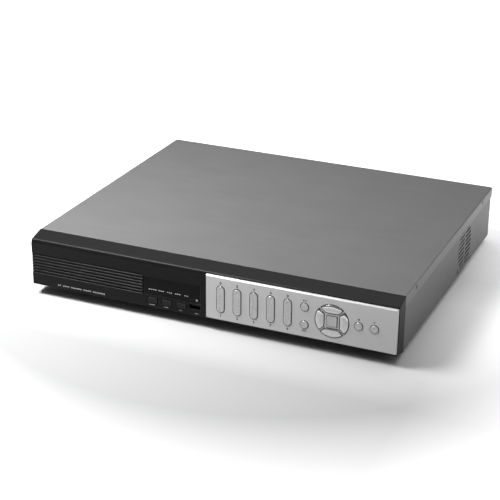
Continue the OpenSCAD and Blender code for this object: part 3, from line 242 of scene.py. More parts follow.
class Skin:
    """Points and faces of one piece, gathered patch by patch, in millimetres."""

    def __init__(self):
        self.points, self.faces, self.count = [], [], 0

    def add(self, points, faces):
        """A patch of points with faces that number them from 0."""
        points = np.asarray(points, float).reshape(-1, 3)
        self.faces += (np.asarray(faces) + self.count).tolist() if len(faces) else []
        self.points.append(points)
        self.count += len(points)

    def grid(self, points, wrap=False):
        """Quads over rows and columns of points; wrap joins the last column to the first."""
        rows, columns = points.shape[:2]
        n = np.arange(rows * columns).reshape(rows, columns)
        n = np.hstack([n, n[:, :1]]) if wrap else n
        quads = np.stack([n[:-1, :-1], n[:-1, 1:], n[1:, 1:], n[1:, :-1]], -1).reshape(-1, 4)
        self.add(points, quads)

    def fill(self, loops, depth, place, lines=()):
        """Delaunay triangles inside the first outline and outside the others, with lines kept as edges."""
        runs = [*loops, *lines]
        starts = np.cumsum([0] + [len(run) for run in runs[:-1]])
        edges = []
        for i, (start, run) in enumerate(zip(starts, runs)):
            n = np.arange(len(run))
            pairs = np.stack([n, np.roll(n, -1)], -1)
            edges.append(start + (pairs if i < len(loops) else pairs[:-1]))
        flat, _, faces, *_ = delaunay_2d_cdt(
            np.concatenate(runs).tolist(), np.concatenate(edges).tolist(), [], 0, 1e-6
        )
        flat, faces = np.array(flat), np.array(faces)
        centre = flat[faces].mean(1)
        keep = inside(centre, loops[0])
        for hole in loops[1:]:
            keep &= ~inside(centre, hole)
        self.add(place(flat[:, 0], flat[:, 1], np.full(len(flat), depth)), faces[keep])

    def band(self, rings, depths, place):
        """Outlines one behind another, joined round."""
        rings = np.asarray(rings)
        depth = np.broadcast_to(np.asarray(depths, float)[:, None], rings.shape[:2])
        self.grid(place(rings[..., 0], rings[..., 1], depth), wrap=True)

    def plate(self, outline, holes, thickness, place, lip=0.2, back_lip=0.1):
        """A flat plate: a quarter round, a side and a smaller quarter round run along every outline."""
        front, back = arc(lip), arc(back_lip)[::-1]
        inset = np.concatenate([front[:, 0], back[:, 0]])
        depth = np.concatenate([front[:, 1], thickness - back[:, 1]])
        loops = [outline] + [hole[::-1] for hole in holes]
        rings = [[offset(loop, -d) for d in inset] for loop in loops]
        for ring in rings:
            self.band(ring, depth, place)
        self.fill([ring[0] for ring in rings], 0.0, place)
        self.fill([ring[-1] for ring in rings], thickness, place)

    def block(self, rings, depths, place):
        """Outlines one behind another, joined round, with the first and the last one filled."""
        self.band(rings, depths, place)
        self.fill([rings[0]], depths[0], place)
        self.fill([rings[-1]], depths[-1], place)

    def lathe(self, profile, centre, axis="y", count=40, wave=None):
        """A turned shape: profile holds (radius, place along the axis); wave changes the radius by angle."""
        profile = np.asarray(profile, float)
        a = np.linspace(0, 2 * math.pi, count, endpoint=False)
        r = np.repeat(profile[:, :1], count, 1)
        r = wave(r, a[None], profile[:, 1:]) if wave else r
        along = np.repeat(profile[:, 1:], count, 1)
        c, s = r * np.cos(a), r * np.sin(a)
        order = {"x": [along, c, s], "y": [c, along, s], "z": [c, s, along]}[axis]
        self.grid(np.stack(order, -1) + np.asarray(centre, float), wrap=True)

    def shell(self, front, back, keep):
        """Two grids, one behind the other, joined round every border of the cells that are kept."""
        rows, columns = front.shape[:2]
        f = np.arange(rows * columns).reshape(rows, columns)
        b = f + rows * columns
        sheet = np.stack([f[:-1, :-1], f[:-1, 1:], f[1:, 1:], f[1:, :-1]], -1)[keep]
        behind = np.stack([b[:-1, :-1], b[1:, :-1], b[1:, 1:], b[:-1, 1:]], -1)[keep]
        k = np.pad(keep, 1)
        across = k[:-1, 1:-1] != k[1:, 1:-1]
        upright = k[1:-1, :-1] != k[1:-1, 1:]
        walls_a = np.stack([f[:, :-1], f[:, 1:], b[:, 1:], b[:, :-1]], -1)[across]
        walls_b = np.stack([f[:-1], f[1:], b[1:], b[:-1]], -1)[upright]
        self.add(np.stack([front, back]), np.concatenate([sheet, behind, walls_a, walls_b]))

    def repeat(self, places):
        """The same patches again at each place."""
        points, faces = np.concatenate(self.points), self.faces
        self.points = [points + np.asarray(p, float) for p in places]
        self.faces = [[i + k * len(points) for i in face] for k in range(len(places)) for face in faces]
        self.count = len(points) * len(places)

    def object(self, name, finish, body="root", stands_for=(), slot=None, angle=38):
        """The piece as an object: doubles merged, faces turned outwards, edges over the angle kept sharp."""
        mesh = bpy.data.meshes.new(name)
        mesh.from_pydata((np.concatenate(self.points) * MM).tolist(), [], self.faces)
        edit = bmesh.new()
        edit.from_mesh(mesh)
        bmesh.ops.remove_doubles(edit, verts=edit.verts, dist=1.5e-6)
        bmesh.ops.dissolve_degenerate(edit, edges=edit.edges, dist=1e-7)
        bmesh.ops.recalc_face_normals(edit, faces=edit.faces)
        edit.to_mesh(mesh)
        edit.free()
        piece = add_piece(name, mesh, finish, angle)
        if body:
            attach(piece, body)
        if stands_for:
            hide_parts(*stands_for)
        return piece


# ---- Finishes ----


class Socket:
    """A shader socket that takes part in Python's sums: every operator adds its Math node."""

    def __init__(self, finish, socket):
        self.finish, self.socket = finish, socket

    def _math(self, operation, first, second, clamp=False):
        settings = {"operation": operation, "use_clamp": clamp}
        return self.finish.node("ShaderNodeMath", settings, {0: first, 1: second})

    def __add__(self, other):
        return self._math("ADD", self, other)

    __radd__ = __add__

    def __sub__(self, other):
        return self._math("SUBTRACT", self, other)

    def __rsub__(self, other):
        return self._math("SUBTRACT", other, self)

    def __mul__(self, other):
        return self._math("MULTIPLY", self, other)

    __rmul__ = __mul__

    def __truediv__(self, other):
        return self._math("DIVIDE", self, other)

    def __rtruediv__(self, other):
        return self._math("DIVIDE", other, self)

    def __pow__(self, other):
        return self._math("POWER", self, other)

    def __gt__(self, other):
        return self._math("GREATER_THAN", self, other)

    def clamp(self):
        return self._math("ADD", self, 0.0, clamp=True)


class Finish:
    """One material: a Principled shader whose constants are set on its own sockets."""

    def __init__(self, name, **constants):
        self.material = bpy.data.materials.new(name)
        self.material.use_nodes = True
        self.tree = self.material.node_tree
        self.shader = self.tree.nodes["Principled BSDF"]
        self.set(**constants)

    def set(self, **values):
        """Shader sockets by name, with _ for a space: a number, a colour or another node's socket."""
        for key, value in values.items():
            self.put(self.shader.inputs[key.replace("_", " ")], value)
        return self

    def put(self, socket, value):
        if isinstance(value, Socket):
            self.tree.links.new(value.socket, socket)
        else:
            socket.default_value = value

    def node(self, kind, settings=None, inputs=None, output=0):
        """Any node: its settings first, with a ramp's stops, then the values or links of its sockets."""
        made = self.tree.nodes.new(kind)
        for key, value in (settings or {}).items():
            if key == "stops":
                ramp = made.color_ramp
                ramp.elements[0].position, ramp.elements[-1].position = value[0][0], value[-1][0]
                for place, _ in value[1:-1]:
                    ramp.elements.new(place)
                for element, (_, shade) in zip(ramp.elements, value):
                    element.color = shade if len(shade) == 4 else (*shade, 1)
            else:
                setattr(made, key, value)
        for key, value in (inputs or {}).items():
            self.put(made.inputs[key], value)
        return Socket(self, made.outputs[output])

    def place(self, scale=(1, 1, 1), turn=(0, 0, 0)):
        """The piece's own coordinates in metres, scaled and turned by a Mapping node."""
        here = self.node("ShaderNodeTexCoord", output="Object")
        return self.node("ShaderNodeMapping", {}, {"Vector": here, "Scale": scale, "Rotation": turn})

    def noise(self, size, detail=2.0, stretch=(1, 1, 1), rough=0.5, turn=(0, 0, 0)):
        """Soft random cloud from 0 to 1 whose blobs are about size millimetres across."""
        inputs = {"Vector": self.place(stretch, turn), "Scale": 1 / (size * MM), "Detail": detail}
        return self.node("ShaderNodeTexNoise", {}, {**inputs, "Roughness": rough})

    def cells(self, size, feature="F1", stretch=(1, 1, 1), output="Distance"):
        """Cell pattern whose cells are about size millimetres across."""
        inputs = {"Vector": self.place(stretch), "Scale": 1 / (size * MM)}
        return self.node("ShaderNodeTexVoronoi", {"feature": feature}, inputs, output=output)

    def mix(self, share, first, second):
        """From one colour to another."""
        settings = {"data_type": "RGBA"}
        return self.node("ShaderNodeMix", settings, {0: share, 6: first, 7: second}, output=2)

    def bump(self, height, strength, distance):
        """Surface relief: distance is in millimetres."""
        inputs = {"Strength": strength, "Distance": distance * MM, "Height": height}
        self.set(Normal=self.node("ShaderNodeBump", {}, inputs))
        return self

    def axis(self, name):
        """One coordinate of the piece's own place, in metres."""
        here = self.node("ShaderNodeTexCoord", output="Object")
        return self.node("ShaderNodeSeparateXYZ", {}, {0: here}, output=name)


def shade(rgba, factor):
    """A colour made lighter or darker."""
    return (*[min(1.0, c * factor) for c in rgba[:3]], 1.0)


_finishes = {}


def finish(name):
    """The named finish, made the first time that it is asked for."""
    if name not in _finishes:
        _finishes[name] = FINISHES[name]().material
    return _finishes[name]


def satin_paint(name, base, rough=0.42):
    """Powder-coated sheet: fine orange peel, long faint rolling streaks and handling marks."""
    f = Finish(name, Metallic=0.0, Specular_IOR_Level=0.5)
    peel = f.noise(0.45, 3.0)
    streak = f.noise(9.0, 4.0, stretch=(0.12, 1, 1), rough=0.6)
    smudge = f.noise(60.0, 3.0)
    f.set(
        Base_Color=f.mix((streak * 0.5 + smudge * 0.5 - 0.25).clamp(), shade(base, 0.9), shade(base, 1.12)),
        Roughness=rough + (streak - 0.5) * 0.12 + (smudge - 0.5) * 0.08,
    )
    return f.bump(peel * 0.8 + streak * 0.4, 0.35, 0.04)


def moulded_plastic(name, base, rough=0.38, grain=0.35, gloss=0.45):
    """Injection-moulded plastic: spark-eroded grain, soft flow clouds and a faint dusting."""
    f = Finish(name, Specular_IOR_Level=gloss)
    texture = f.cells(grain)
    flow = f.noise(18.0, 3.0)
    dust = (f.noise(1.1, 5.0, rough=0.7) - 0.62).clamp() * 0.5
    f.set(
        Base_Color=f.mix((flow * 0.7 + dust).clamp(), shade(base, 0.85), shade(base, 1.35)),
        Roughness=rough + (flow - 0.5) * 0.1 + dust * 0.4,
    )
    return f.bump(texture, 0.18, 0.03)


def silver_paint(name, base, rough=0.36, metal=0.35, gap_shade_from=0.08, border=1.6):
    """Metallic paint: tiny flakes under a satin clear coat; down in the key gaps it turns dark, rough and not
    metallic, as painted shade.
    """
    f = Finish(name, Coat_Weight=0.12, Coat_Roughness=0.25)
    flake = f.cells(0.22, output="Color")
    flake = f.node("ShaderNodeSeparateColor", {}, {0: flake})
    cloud = f.noise(25.0, 2.0)
    low, high = box("control_panel")
    x, y, z = f.axis("X"), f.axis("Y"), f.axis("Z")
    # Painted shade in the key gaps: behind the given depth from the panel's front the colour goes near black,
    # except on the panel's outer border.
    painted_gap_shade = (y > (low[1] + gap_shade_from) * MM) * (x > (low[0] + border) * MM) * (z > (low[2] + border) * MM)
    painted_gap_shade = painted_gap_shade * (1 - (x > (high[0] - border) * MM)) * (1 - (z > (high[2] - border) * MM))
    paint = f.mix((flake * 0.6 + cloud * 0.4).clamp(), shade(base, 0.97), shade(base, 1.03))
    f.set(
        Base_Color=f.mix(painted_gap_shade, paint, (0.012, 0.012, 0.012, 1)),
        Metallic=metal * (1 - painted_gap_shade),
        Roughness=rough + (flake - 0.5) * 0.05 + (cloud - 0.5) * 0.05 + painted_gap_shade * 0.3,
    )
    return f.bump(flake * 0.12 + f.noise(1.4, 2.0), 0.05, 0.01)


def plated(name, base, rough=0.22, streak=(1, 1, 1), size=0.5):
    """Plated metal: fine tool marks that follow the machining, with dull spots."""
    f = Finish(name, Metallic=1.0)
    marks = f.noise(size, 4.0, stretch=streak, rough=0.65)
    spots = f.noise(4.0, 3.0)
    f.set(
        Base_Color=f.mix(spots, shade(base, 0.86), shade(base, 1.08)),
        Roughness=rough + (marks - 0.5) * 0.14 + (spots - 0.5) * 0.12,
    )
    return f.bump(marks, 0.12, 0.01)


def smoked_glass():
    """Smoked acrylic: near black, polished, with a faint moulding flow and fine wiping marks."""
    f = Finish("smoked window", Specular_IOR_Level=0.12)
    base = tint("window")
    flow = f.noise(14.0, 2.0)
    wiped = f.noise(0.8, 4.0, stretch=(0.15, 1, 1))
    f.set(
        Base_Color=f.mix(flow, shade(base, 0.7), shade(base, 1.8)),
        Roughness=0.12 + (wiped - 0.5) * 0.08,
        Alpha=0.965 - (flow - 0.5) * 0.02,
    )
    return f.bump(flow, 0.05, 0.02)


def rubber():
    """Moulded rubber: matt, with a bloom of pale dust in its pores."""
    f = Finish("rubber", Specular_IOR_Level=0.3)
    pores = f.noise(0.6, 4.0)
    bloom = (f.noise(6.0, 4.0) - 0.45).clamp()
    f.set(
        Base_Color=f.mix(bloom, (0.012, 0.012, 0.012, 1), (0.05, 0.05, 0.048, 1)),
        Roughness=0.75 + (pores - 0.5) * 0.2,
    )
    return f.bump(pores, 0.4, 0.05)


def white_print():
    """Screen-printed ink: slightly uneven in cover and gloss."""
    f = Finish("white print", Specular_IOR_Level=0.3)
    base = tint("marks")
    cover = f.noise(0.35, 3.0)
    f.set(Base_Color=f.mix(cover, shade(base, 0.8), shade(base, 1.1)), Roughness=0.5 + cover * 0.2)
    return f.bump(cover, 0.1, 0.01)


def dark_print():
    """Dark grey ink on the silver panel."""
    f = Finish("dark print", Specular_IOR_Level=0.3)
    cover = f.noise(0.35, 3.0)
    f.set(
        Base_Color=f.mix(cover, (0.035, 0.035, 0.037, 1), (0.06, 0.06, 0.062, 1)),
        Roughness=0.45 + cover * 0.2,
    )
    return f.bump(cover, 0.1, 0.01)


def lamp_lens():
    """Diffusing lamp lens: milky tint with a darker core."""
    f = Finish("lamp lens", Specular_IOR_Level=0.5, Transmission_Weight=0.0)
    core = f.noise(1.2, 2.0)
    f.set(
        Base_Color=f.mix(core, (0.28, 0.42, 0.28, 1), (0.5, 0.62, 0.48, 1)),
        Roughness=0.25 + core * 0.15,
    )
    return f.bump(core, 0.05, 0.01)


def circuit_board(name, base, trace):
    """Solder-masked board: straight copper tracks that cross on two layers, with dotted vias."""
    f = Finish(name, Specular_IOR_Level=0.5, Coat_Weight=0.3, Coat_Roughness=0.2)
    x, y = f.axis("X"), f.axis("Y")
    warp = f.noise(22.0, 1.0)
    along = f.node("ShaderNodeMath", {"operation": "SINE"}, {0: (x + warp * 0.012) * 2600})
    across = f.node("ShaderNodeMath", {"operation": "SINE"}, {0: (y + warp * 0.012) * 2600})
    zone = f.noise(30.0, 0.0) > 0.5
    track = (along > 0.35) * zone + (across > 0.35) * (1 - zone)
    via = 1 - (f.cells(3.4) * 4.0 > 0.62)
    weave = f.noise(0.3, 2.0, stretch=(1, 0.2, 1))
    copper = f.mix((track * 0.55).clamp(), base, trace)
    f.set(
        Base_Color=f.mix((via * 0.5).clamp(), copper, (0.45, 0.43, 0.36, 1)),
        Roughness=0.35 + weave * 0.15,
    )
    return f.bump(track * 0.7 + weave * 0.2, 0.2, 0.04)


def cable_sleeve():
    """Ribbon cable: parallel ridges of its insulated wires, with painted shade darkening the valleys between
    them.
    """
    f = Finish("cable", Specular_IOR_Level=0.4)
    x = f.axis("X")
    ridge = f.node("ShaderNodeMath", {"operation": "SINE"}, {0: x * (2 * math.pi / (1.27 * MM))})
    cloud = f.noise(5.0, 3.0)
    # Painted shade: the colour follows the ridges, lighter on each wire's crest and darker in the valleys,
    # mixed with a random cloud.
    ridge_shade_and_cloud = (ridge * 0.3 + 0.5 + (cloud - 0.5) * 0.3).clamp()
    f.set(
        Base_Color=f.mix(ridge_shade_and_cloud, (0.16, 0.16, 0.17, 1), (0.34, 0.34, 0.35, 1)),
        Roughness=0.45 + cloud * 0.15,
    )
    return f.bump(ridge, 0.5, 0.2)


FINISHES = {
    "cover_paint": lambda: satin_paint("cover paint", tint("lid")),
    "case_paint": lambda: satin_paint("case paint", tint("tray"), 0.46),
    "bezel": lambda: moulded_plastic("bezel plastic", tint("bezel"), 0.42, 0.35, 0.13),
    "black_keys": lambda: moulded_plastic("black key plastic", (0.007, 0.007, 0.0072, 1), 0.34, 0.25, 0.2),
    "black_plastic": lambda: moulded_plastic("black plastic", (0.009, 0.009, 0.009, 1), 0.5, 0.5, 0.15),
    "white_plastic": lambda: moulded_plastic("white plastic", (0.62, 0.61, 0.57, 1), 0.4, 0.5),
    "red_plastic": lambda: moulded_plastic("red plastic", (0.42, 0.02, 0.015, 1), 0.35, 0.5),
    "blue_plastic": lambda: moulded_plastic("blue plastic", (0.02, 0.06, 0.3, 1), 0.42, 0.5),
    "green_plastic": lambda: moulded_plastic("green plastic", (0.02, 0.2, 0.07, 1), 0.42, 0.5),
    "silver_panel": lambda: silver_paint("silver panel paint", tint("silver")),
    "silver_keys": lambda: silver_paint("silver key paint", tint("keys"), 0.28, 0.45, -0.35),
    # Painted highlight: the cursor keys take the key paint made 1.35 times lighter, along with a glossier,
    # more metallic plating.
    "plated_keys_painted_highlight": lambda: silver_paint("bright key plating", shade(tint("keys"), 1.35), 0.15, 0.9, -0.35),
    "window": smoked_glass,
    "rubber": rubber,
    "white_print": white_print,
    "dark_print": dark_print,
    "lamps": lamp_lens,
    "plated_screws": lambda: plated("zinc plate", (0.55, 0.56, 0.58, 1), 0.3, (1, 1, 1), 0.4),
    "nickel": lambda: plated("nickel plate", (0.66, 0.64, 0.6, 1), 0.18, (1, 6, 1), 0.3),
    "tin_plate": lambda: plated("tin plate", (0.62, 0.62, 0.61, 1), 0.3, (0.3, 1, 1), 0.5),
    "label": lambda: satin_paint("hub label", (0.30, 0.30, 0.31, 1), 0.35),
    "dark_metal": lambda: plated("blackened steel", (0.035, 0.035, 0.036, 1), 0.4, (0.3, 1, 1), 0.5),
    "gold": lambda: plated("gold plate", (0.85, 0.58, 0.24, 1), 0.2, (1, 5, 1), 0.3),
    "steel": lambda: plated("bright steel", (0.5, 0.5, 0.51, 1), 0.34, (0.2, 1, 1), 0.6),
    "aluminium": lambda: plated("aluminium", (0.68, 0.68, 0.7, 1), 0.36, (1, 0.15, 1), 0.5),
    "circuit_board": lambda: circuit_board("board", (0.006, 0.07, 0.03, 1), (0.02, 0.16, 0.06, 1)),
    "supply_board": lambda: circuit_board("supply board", (0.22, 0.11, 0.03, 1), (0.34, 0.2, 0.07, 1)),
    "cable": cable_sleeve,
}

# Which finish each CAD node gets that no new piece stands for.
NODE_FINISH = {
    "case_screws": "dark_metal", "foot_screws": "plated_screws", "fan_screws": "dark_metal",
    "indicator_lamps": "lamps", "key_board": "circuit_board", "key_switches": "black_plastic",
    "ribbon_cable": "cable", "jack_contacts": "gold", "jack_board": "circuit_board",
    "main_board": "circuit_board", "board_chips": "black_plastic", "heat_sink": "aluminium",
    "coin_cell": "steel", "board_spacers": "gold", "board_screws": "plated_screws",
    "power_supply": "supply_board", "hard_drive": "aluminium", "drive_bracket": "steel",
    "drive_screws": "plated_screws", "drive_cables": "red_plastic",
}


def paint_node(node, name):
    """A CAD node's material slots, all given one finish."""
    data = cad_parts[node].data
    data.materials.clear()
    data.materials.append(finish(name))


# ---- Front bezel and window ----


def face_y():
    """Where the bezel's flat face stands: the window's front is sunk 0.4 mm behind it."""
    return box("display_window")[0][1] - 0.4


GROOVES, GROOVE_PITCH, GROOVE_DEPTH, GROOVE_LIFT = 7, 3.55, 1.3, 20.0
FUNCTION_KEYS = ("function_key_left", "function_key_middle", "function_key_right")
FUNCTION_WIDTH, FUNCTION_HEIGHT = 11.6, 6.4
CHIN_RISE, LIP_DROP, BROW_DROP, LIP_DEPTH = 5.4, 9.0, 4.9, 1.8
STRIP_GAP, STRIP_WIDTH, STRIP_ROUND = 1.4, 5.0, 0.5
PORT_AWAY, PORT_RISE, PORT_WIDTH, PORT_HEIGHT = 7.05, 16.0, 13.7, 6.3
STEP = 0.004  # the width of a wall's foot on the grid, so that a step stays a step


def port_centre():
    """Centre (x, z) of the front data socket, beside the upright strip."""
    x = box("control_panel")[0][0] - STRIP_GAP - STRIP_WIDTH - PORT_AWAY
    return x, box("front_bezel")[0][2] + PORT_RISE


def bezel_outline(s):
    """The bezel's outer outline from the chin up: height, distance behind the face, and normal."""
    low, high = box("front_bezel")
    depth, bottom, top = high[1] - face_y(), low[2], high[2]
    corners = [(depth, bottom), (0, bottom + CHIN_RISE), (0, top - LIP_DROP)]
    corners += [(LIP_DEPTH, top - BROW_DROP), (depth, top)]
    path = rounded(corners, [0.01, s["chin_round"], s["face_round"], s["brow_round"], 0.01], 7)[7:-7]
    path[0], path[-1] = corners[0], corners[-1]
    run = unit(np.gradient(path, axis=0))
    return path[:, 1], path[:, 0], np.stack([-run[:, 1], run[:, 0]], -1)


def rims(low, high, r, outwards=True):
    """Grid lines that follow the quarter round at both edges of a recess or a raised strip."""
    steps = np.array([0, STEP, 0.1 * r, 0.3 * r, 0.6 * r, r]) * (1 if outwards else -1)
    return np.concatenate([low - steps, high + steps])


def within(x, z, region):
    """How far each point lies inside a rectangle (x0, x1, z0, z1), negative outside it."""
    x0, x1, z0, z1 = region
    return np.minimum(np.minimum(x - x0, x1 - x), np.minimum(z - z0, z1 - z))


def sunk(inside_by, depth, r):
    """Depth of a recess: r - sqrt(r^2 - t^2) along its rounded rim, then straight down to its floor."""
    t = np.clip(inside_by + r, 0, r)
    return np.where(inside_by >= 0, depth, r - np.sqrt(r * r - t * t))


def bezel_shell(s):
    """The bezel: a grid over height and width, set back from its outline by grooves, recesses and holes."""
    low, high = box("front_bezel")
    window, panel = box("display_window"), box("control_panel")
    y0, wall, r = face_y(), s["bezel_wall"], 0.2
    path_z, path_y, normal = bezel_outline(s)
    half = high[0]

    pane = (window[0][0] - 0.15, window[1][0] + 0.15, window[0][2] - 0.15, window[1][2] + 0.15)
    sill = (window[0][0] + 3, window[1][0] - 3, window[0][2] + 3, window[1][2] - 3)
    bed = (panel[0][0] - 0.3, half + 50, panel[0][2] - 0.3, panel[1][2] + 0.3)
    back = (panel[0][0] + 4, panel[1][0] - 4, panel[0][2] + 4, panel[1][2] - 4)
    strip_right = panel[0][0] - STRIP_GAP
    strip = (strip_right - STRIP_WIDTH, strip_right, low[2] + CHIN_RISE, high[2] - LIP_DROP)
    gap = s["key_gap"]
    holes = [(*port_centre(), PORT_WIDTH / 2, PORT_HEIGHT / 2)]
    key_half = (FUNCTION_WIDTH / 2 + gap, FUNCTION_HEIGHT / 2 + gap)
    holes += [(*middle(key)[[0, 2]], *key_half) for key in FUNCTION_KEYS]
    holes = [(cx - w, cx + w, cz - h, cz + h) for cx, cz, w, h in holes]

    groove_end = pane[0] - 1.05
    groove_z = low[2] + GROOVE_LIFT + GROOVE_PITCH * np.arange(GROOVES)
    top = GROOVE_PITCH * 0.54
    shape_z = np.array([-0.57, -0.42, -0.36, 0.5, 0.62, top - 0.12, top - STEP, top, top + 0.03, top + 0.12])
    e = s["groove_edge"]
    shape_y = np.array([0, 0.03, 0.1, 1.2, 1.3, 1.3, 1.3, e, e * 0.35, 0])
    groove_rows = (groove_z[:, None] + shape_z).ravel()

    x = [rims(a, b, r) for a, b, _, _ in holes] + [rims(pane[0], pane[1], r), sill[:2], back[:2]]
    x += [rims(bed[0], bed[0] + 1, 0.15)[:6], rims(strip[0], strip[1], STRIP_ROUND, False)]
    x += [groove_end + np.array([-STEP, 0, 0.03, 0.12]), np.linspace(-half, half, 44)]
    t = np.linspace(0, math.pi / 2, 7)
    end = s["end_round"] * (1 - np.cos(t))
    x = np.unique(np.clip(np.round(np.concatenate([*x, end - half, half - end]), 4), -half, half))
    z = [rims(c, d, r) for _, _, c, d in holes] + [rims(pane[2], pane[3], r), sill[2:], back[2:]]
    z += [rims(bed[2], bed[3], 0.15), rims(strip[2], strip[3], STRIP_ROUND, False), groove_rows, path_z]
    z = np.unique(np.clip(np.round(np.concatenate(z), 4), path_z[0], path_z[-1]))

    gx, gz = np.meshgrid(x, z)
    y = np.repeat(np.interp(z, path_z, path_y)[:, None], len(x), 1)
    cut = np.interp(z, groove_rows, np.tile(shape_y, GROOVES))[:, None]
    run_out = np.interp(gx, groove_end + np.array([0, 0.03, 0.12]), [e, e * 0.35, 0])
    y += np.minimum(cut, np.where(gx < groove_end, GROOVE_DEPTH, run_out))
    y += sunk(within(gx, gz, pane), 1.85, r)
    for hole in holes:
        y += sunk(within(gx, gz, hole), r, r)
    rise = np.clip(within(gx, gz, strip), 0, STRIP_ROUND)
    y -= np.sqrt(STRIP_ROUND**2 - (STRIP_ROUND - rise) ** 2)
    y = np.maximum(y, sunk(within(gx, gz, bed), 1.45, 0.15))

    # The ends are drawn in along the outline's own normal, and then run straight back to the rear rim.
    r_end = s["end_round"]
    inset = r_end - np.sqrt(np.maximum(r_end**2 - np.clip(r_end - (half - abs(x)), 0, r_end) ** 2, 0))
    ny = np.interp(z, path_z, normal[:, 0])[:, None]
    nz = np.interp(z, path_z, normal[:, 1])[:, None]
    depth = path_y[0]
    front = np.stack([gx, np.minimum(y - ny * inset, depth), gz - nz * inset], -1)
    # Inside, the wall keeps its thickness along the flat face and thins in steps into the chin and the brow.
    foot = path_z[0]
    inner_z = [foot, foot + CHIN_RISE, foot + 7.6, high[2] - 10.3, high[2] - BROW_DROP, high[2]]
    slope = wall * 1.035
    in_y = np.interp(z, inner_z, [depth, wall, wall, wall, wall + LIP_DEPTH, depth])[:, None]
    heights = [low[2] + slope, low[2] + 7.4, inner_z[2], inner_z[3], high[2] - 6.91, high[2] - slope]
    in_z = np.interp(z, inner_z, heights)[:, None]
    behind = np.stack([np.clip(gx, wall - half, half - wall), in_y + 0 * gx, in_z + 0 * gx], -1)

    def ends(grid):
        first, last = grid[:, :1].copy(), grid[:, -1:].copy()
        first[..., 1] = last[..., 1] = depth
        return np.hstack([first, grid, last])

    cx, cz = (x[1:] + x[:-1]) / 2, (z[1:] + z[:-1]) / 2
    mx, mz = np.meshgrid(cx, cz)
    keep = np.ones(mx.shape, bool)
    for hole in [*holes, sill, back]:
        keep &= within(mx, mz, hole) < 0
    keep = np.pad(keep, ((0, 0), (1, 1)), constant_values=True)
    skin = Skin()
    skin.shell(ends(front) + [0, y0, 0], ends(behind) + [0, y0, 0], keep)
    return skin


class RECORDER_OT_front_bezel(bpy.types.Operator):
    """Moulded bezel with its sloping brow, seven grooves, upright strip and openings"""

    bl_idname = "recorder.front_bezel"
    bl_label = "Front bezel"

    def execute(self, context):
        bezel_shell(sizes()).object(
            "front_bezel_moulding", finish("bezel"), stands_for=["front_bezel"], slot="black_bezel", angle=32
        )
        return {"FINISHED"}


class RECORDER_OT_display_window(bpy.types.Operator):
    """Smoked display window with a polished edge"""

    bl_idname = "recorder.display_window"
    bl_label = "Display window"

    def execute(self, context):
        low, high = box("display_window")
        skin = Skin()
        outline = rectangle(low[0], high[0], low[2], high[2], 0.3)
        skin.plate(outline, [], high[1] - low[1], to_front(low[1]), 0.3, 0.1)
        skin.object("smoked_window", finish("window"), stands_for=["display_window"], slot="smoked_window")
        return {"FINISHED"}


# ---- Control panel and keys ----

NUMBER_KEYS = ("number_key_0_1", "number_key_2_3", "number_key_4_5", "number_key_6_7", "number_key_8_9")
ROUND_KEYS = ("escape_button", "menu_button", "record_button", "play_button")
CURSOR_KEYS = ("nav_key_up", "nav_key_left", "nav_key_down", "nav_key_right")
KEY_WIDTH, BUTTON_RADIUS, RING_RADIUS, ENTER_WIDTH = 8.6, 4.4, 18.4, 11.2
RIB, ENTER_FRAME = 1.3, 1.9
KEY_THICK, CURSOR_THICK, FUNCTION_THICK, CURSOR_CROWN = 5.1, 5.8, 4.4, 1.7
DIMPLE_RADIUS, DIMPLE_DEPTH, DIMPLE_RIM = 1.9, 0.34, 0.05


def sector_ends(radius, half_gap, chord):
    """Half the chord's length, and the angle where the diagonal, half_gap aside, meets the ring's arc."""
    g = half_gap * math.sqrt(2)
    x = (-g + math.sqrt(2 * radius**2 - g * g)) / 2
    return chord - g, math.atan2(x + g, x)


def sector(radius, half_gap, chord, steps=28):
    """A cursor key's outline: a chord below, two diagonals half_gap from the corners, and the ring's arc."""
    a, turn = sector_ends(radius, half_gap, chord)
    angles = np.linspace(turn, math.pi - turn, steps)
    ring = np.stack([radius * np.cos(angles), radius * np.sin(angles)], -1)
    return np.concatenate([[(-a, chord), (a, chord)], ring])


def turned(points, quarter):
    """Points turned anticlockwise by quarters of a turn."""
    c, s_ = round(math.cos(quarter * math.pi / 2)), round(math.sin(quarter * math.pi / 2))
    return points @ np.array([[c, s_], [-s_, c]])


def ring_centre():
    """Centre of the ring of cursor keys."""
    return middle("enter_button")[[0, 2]]


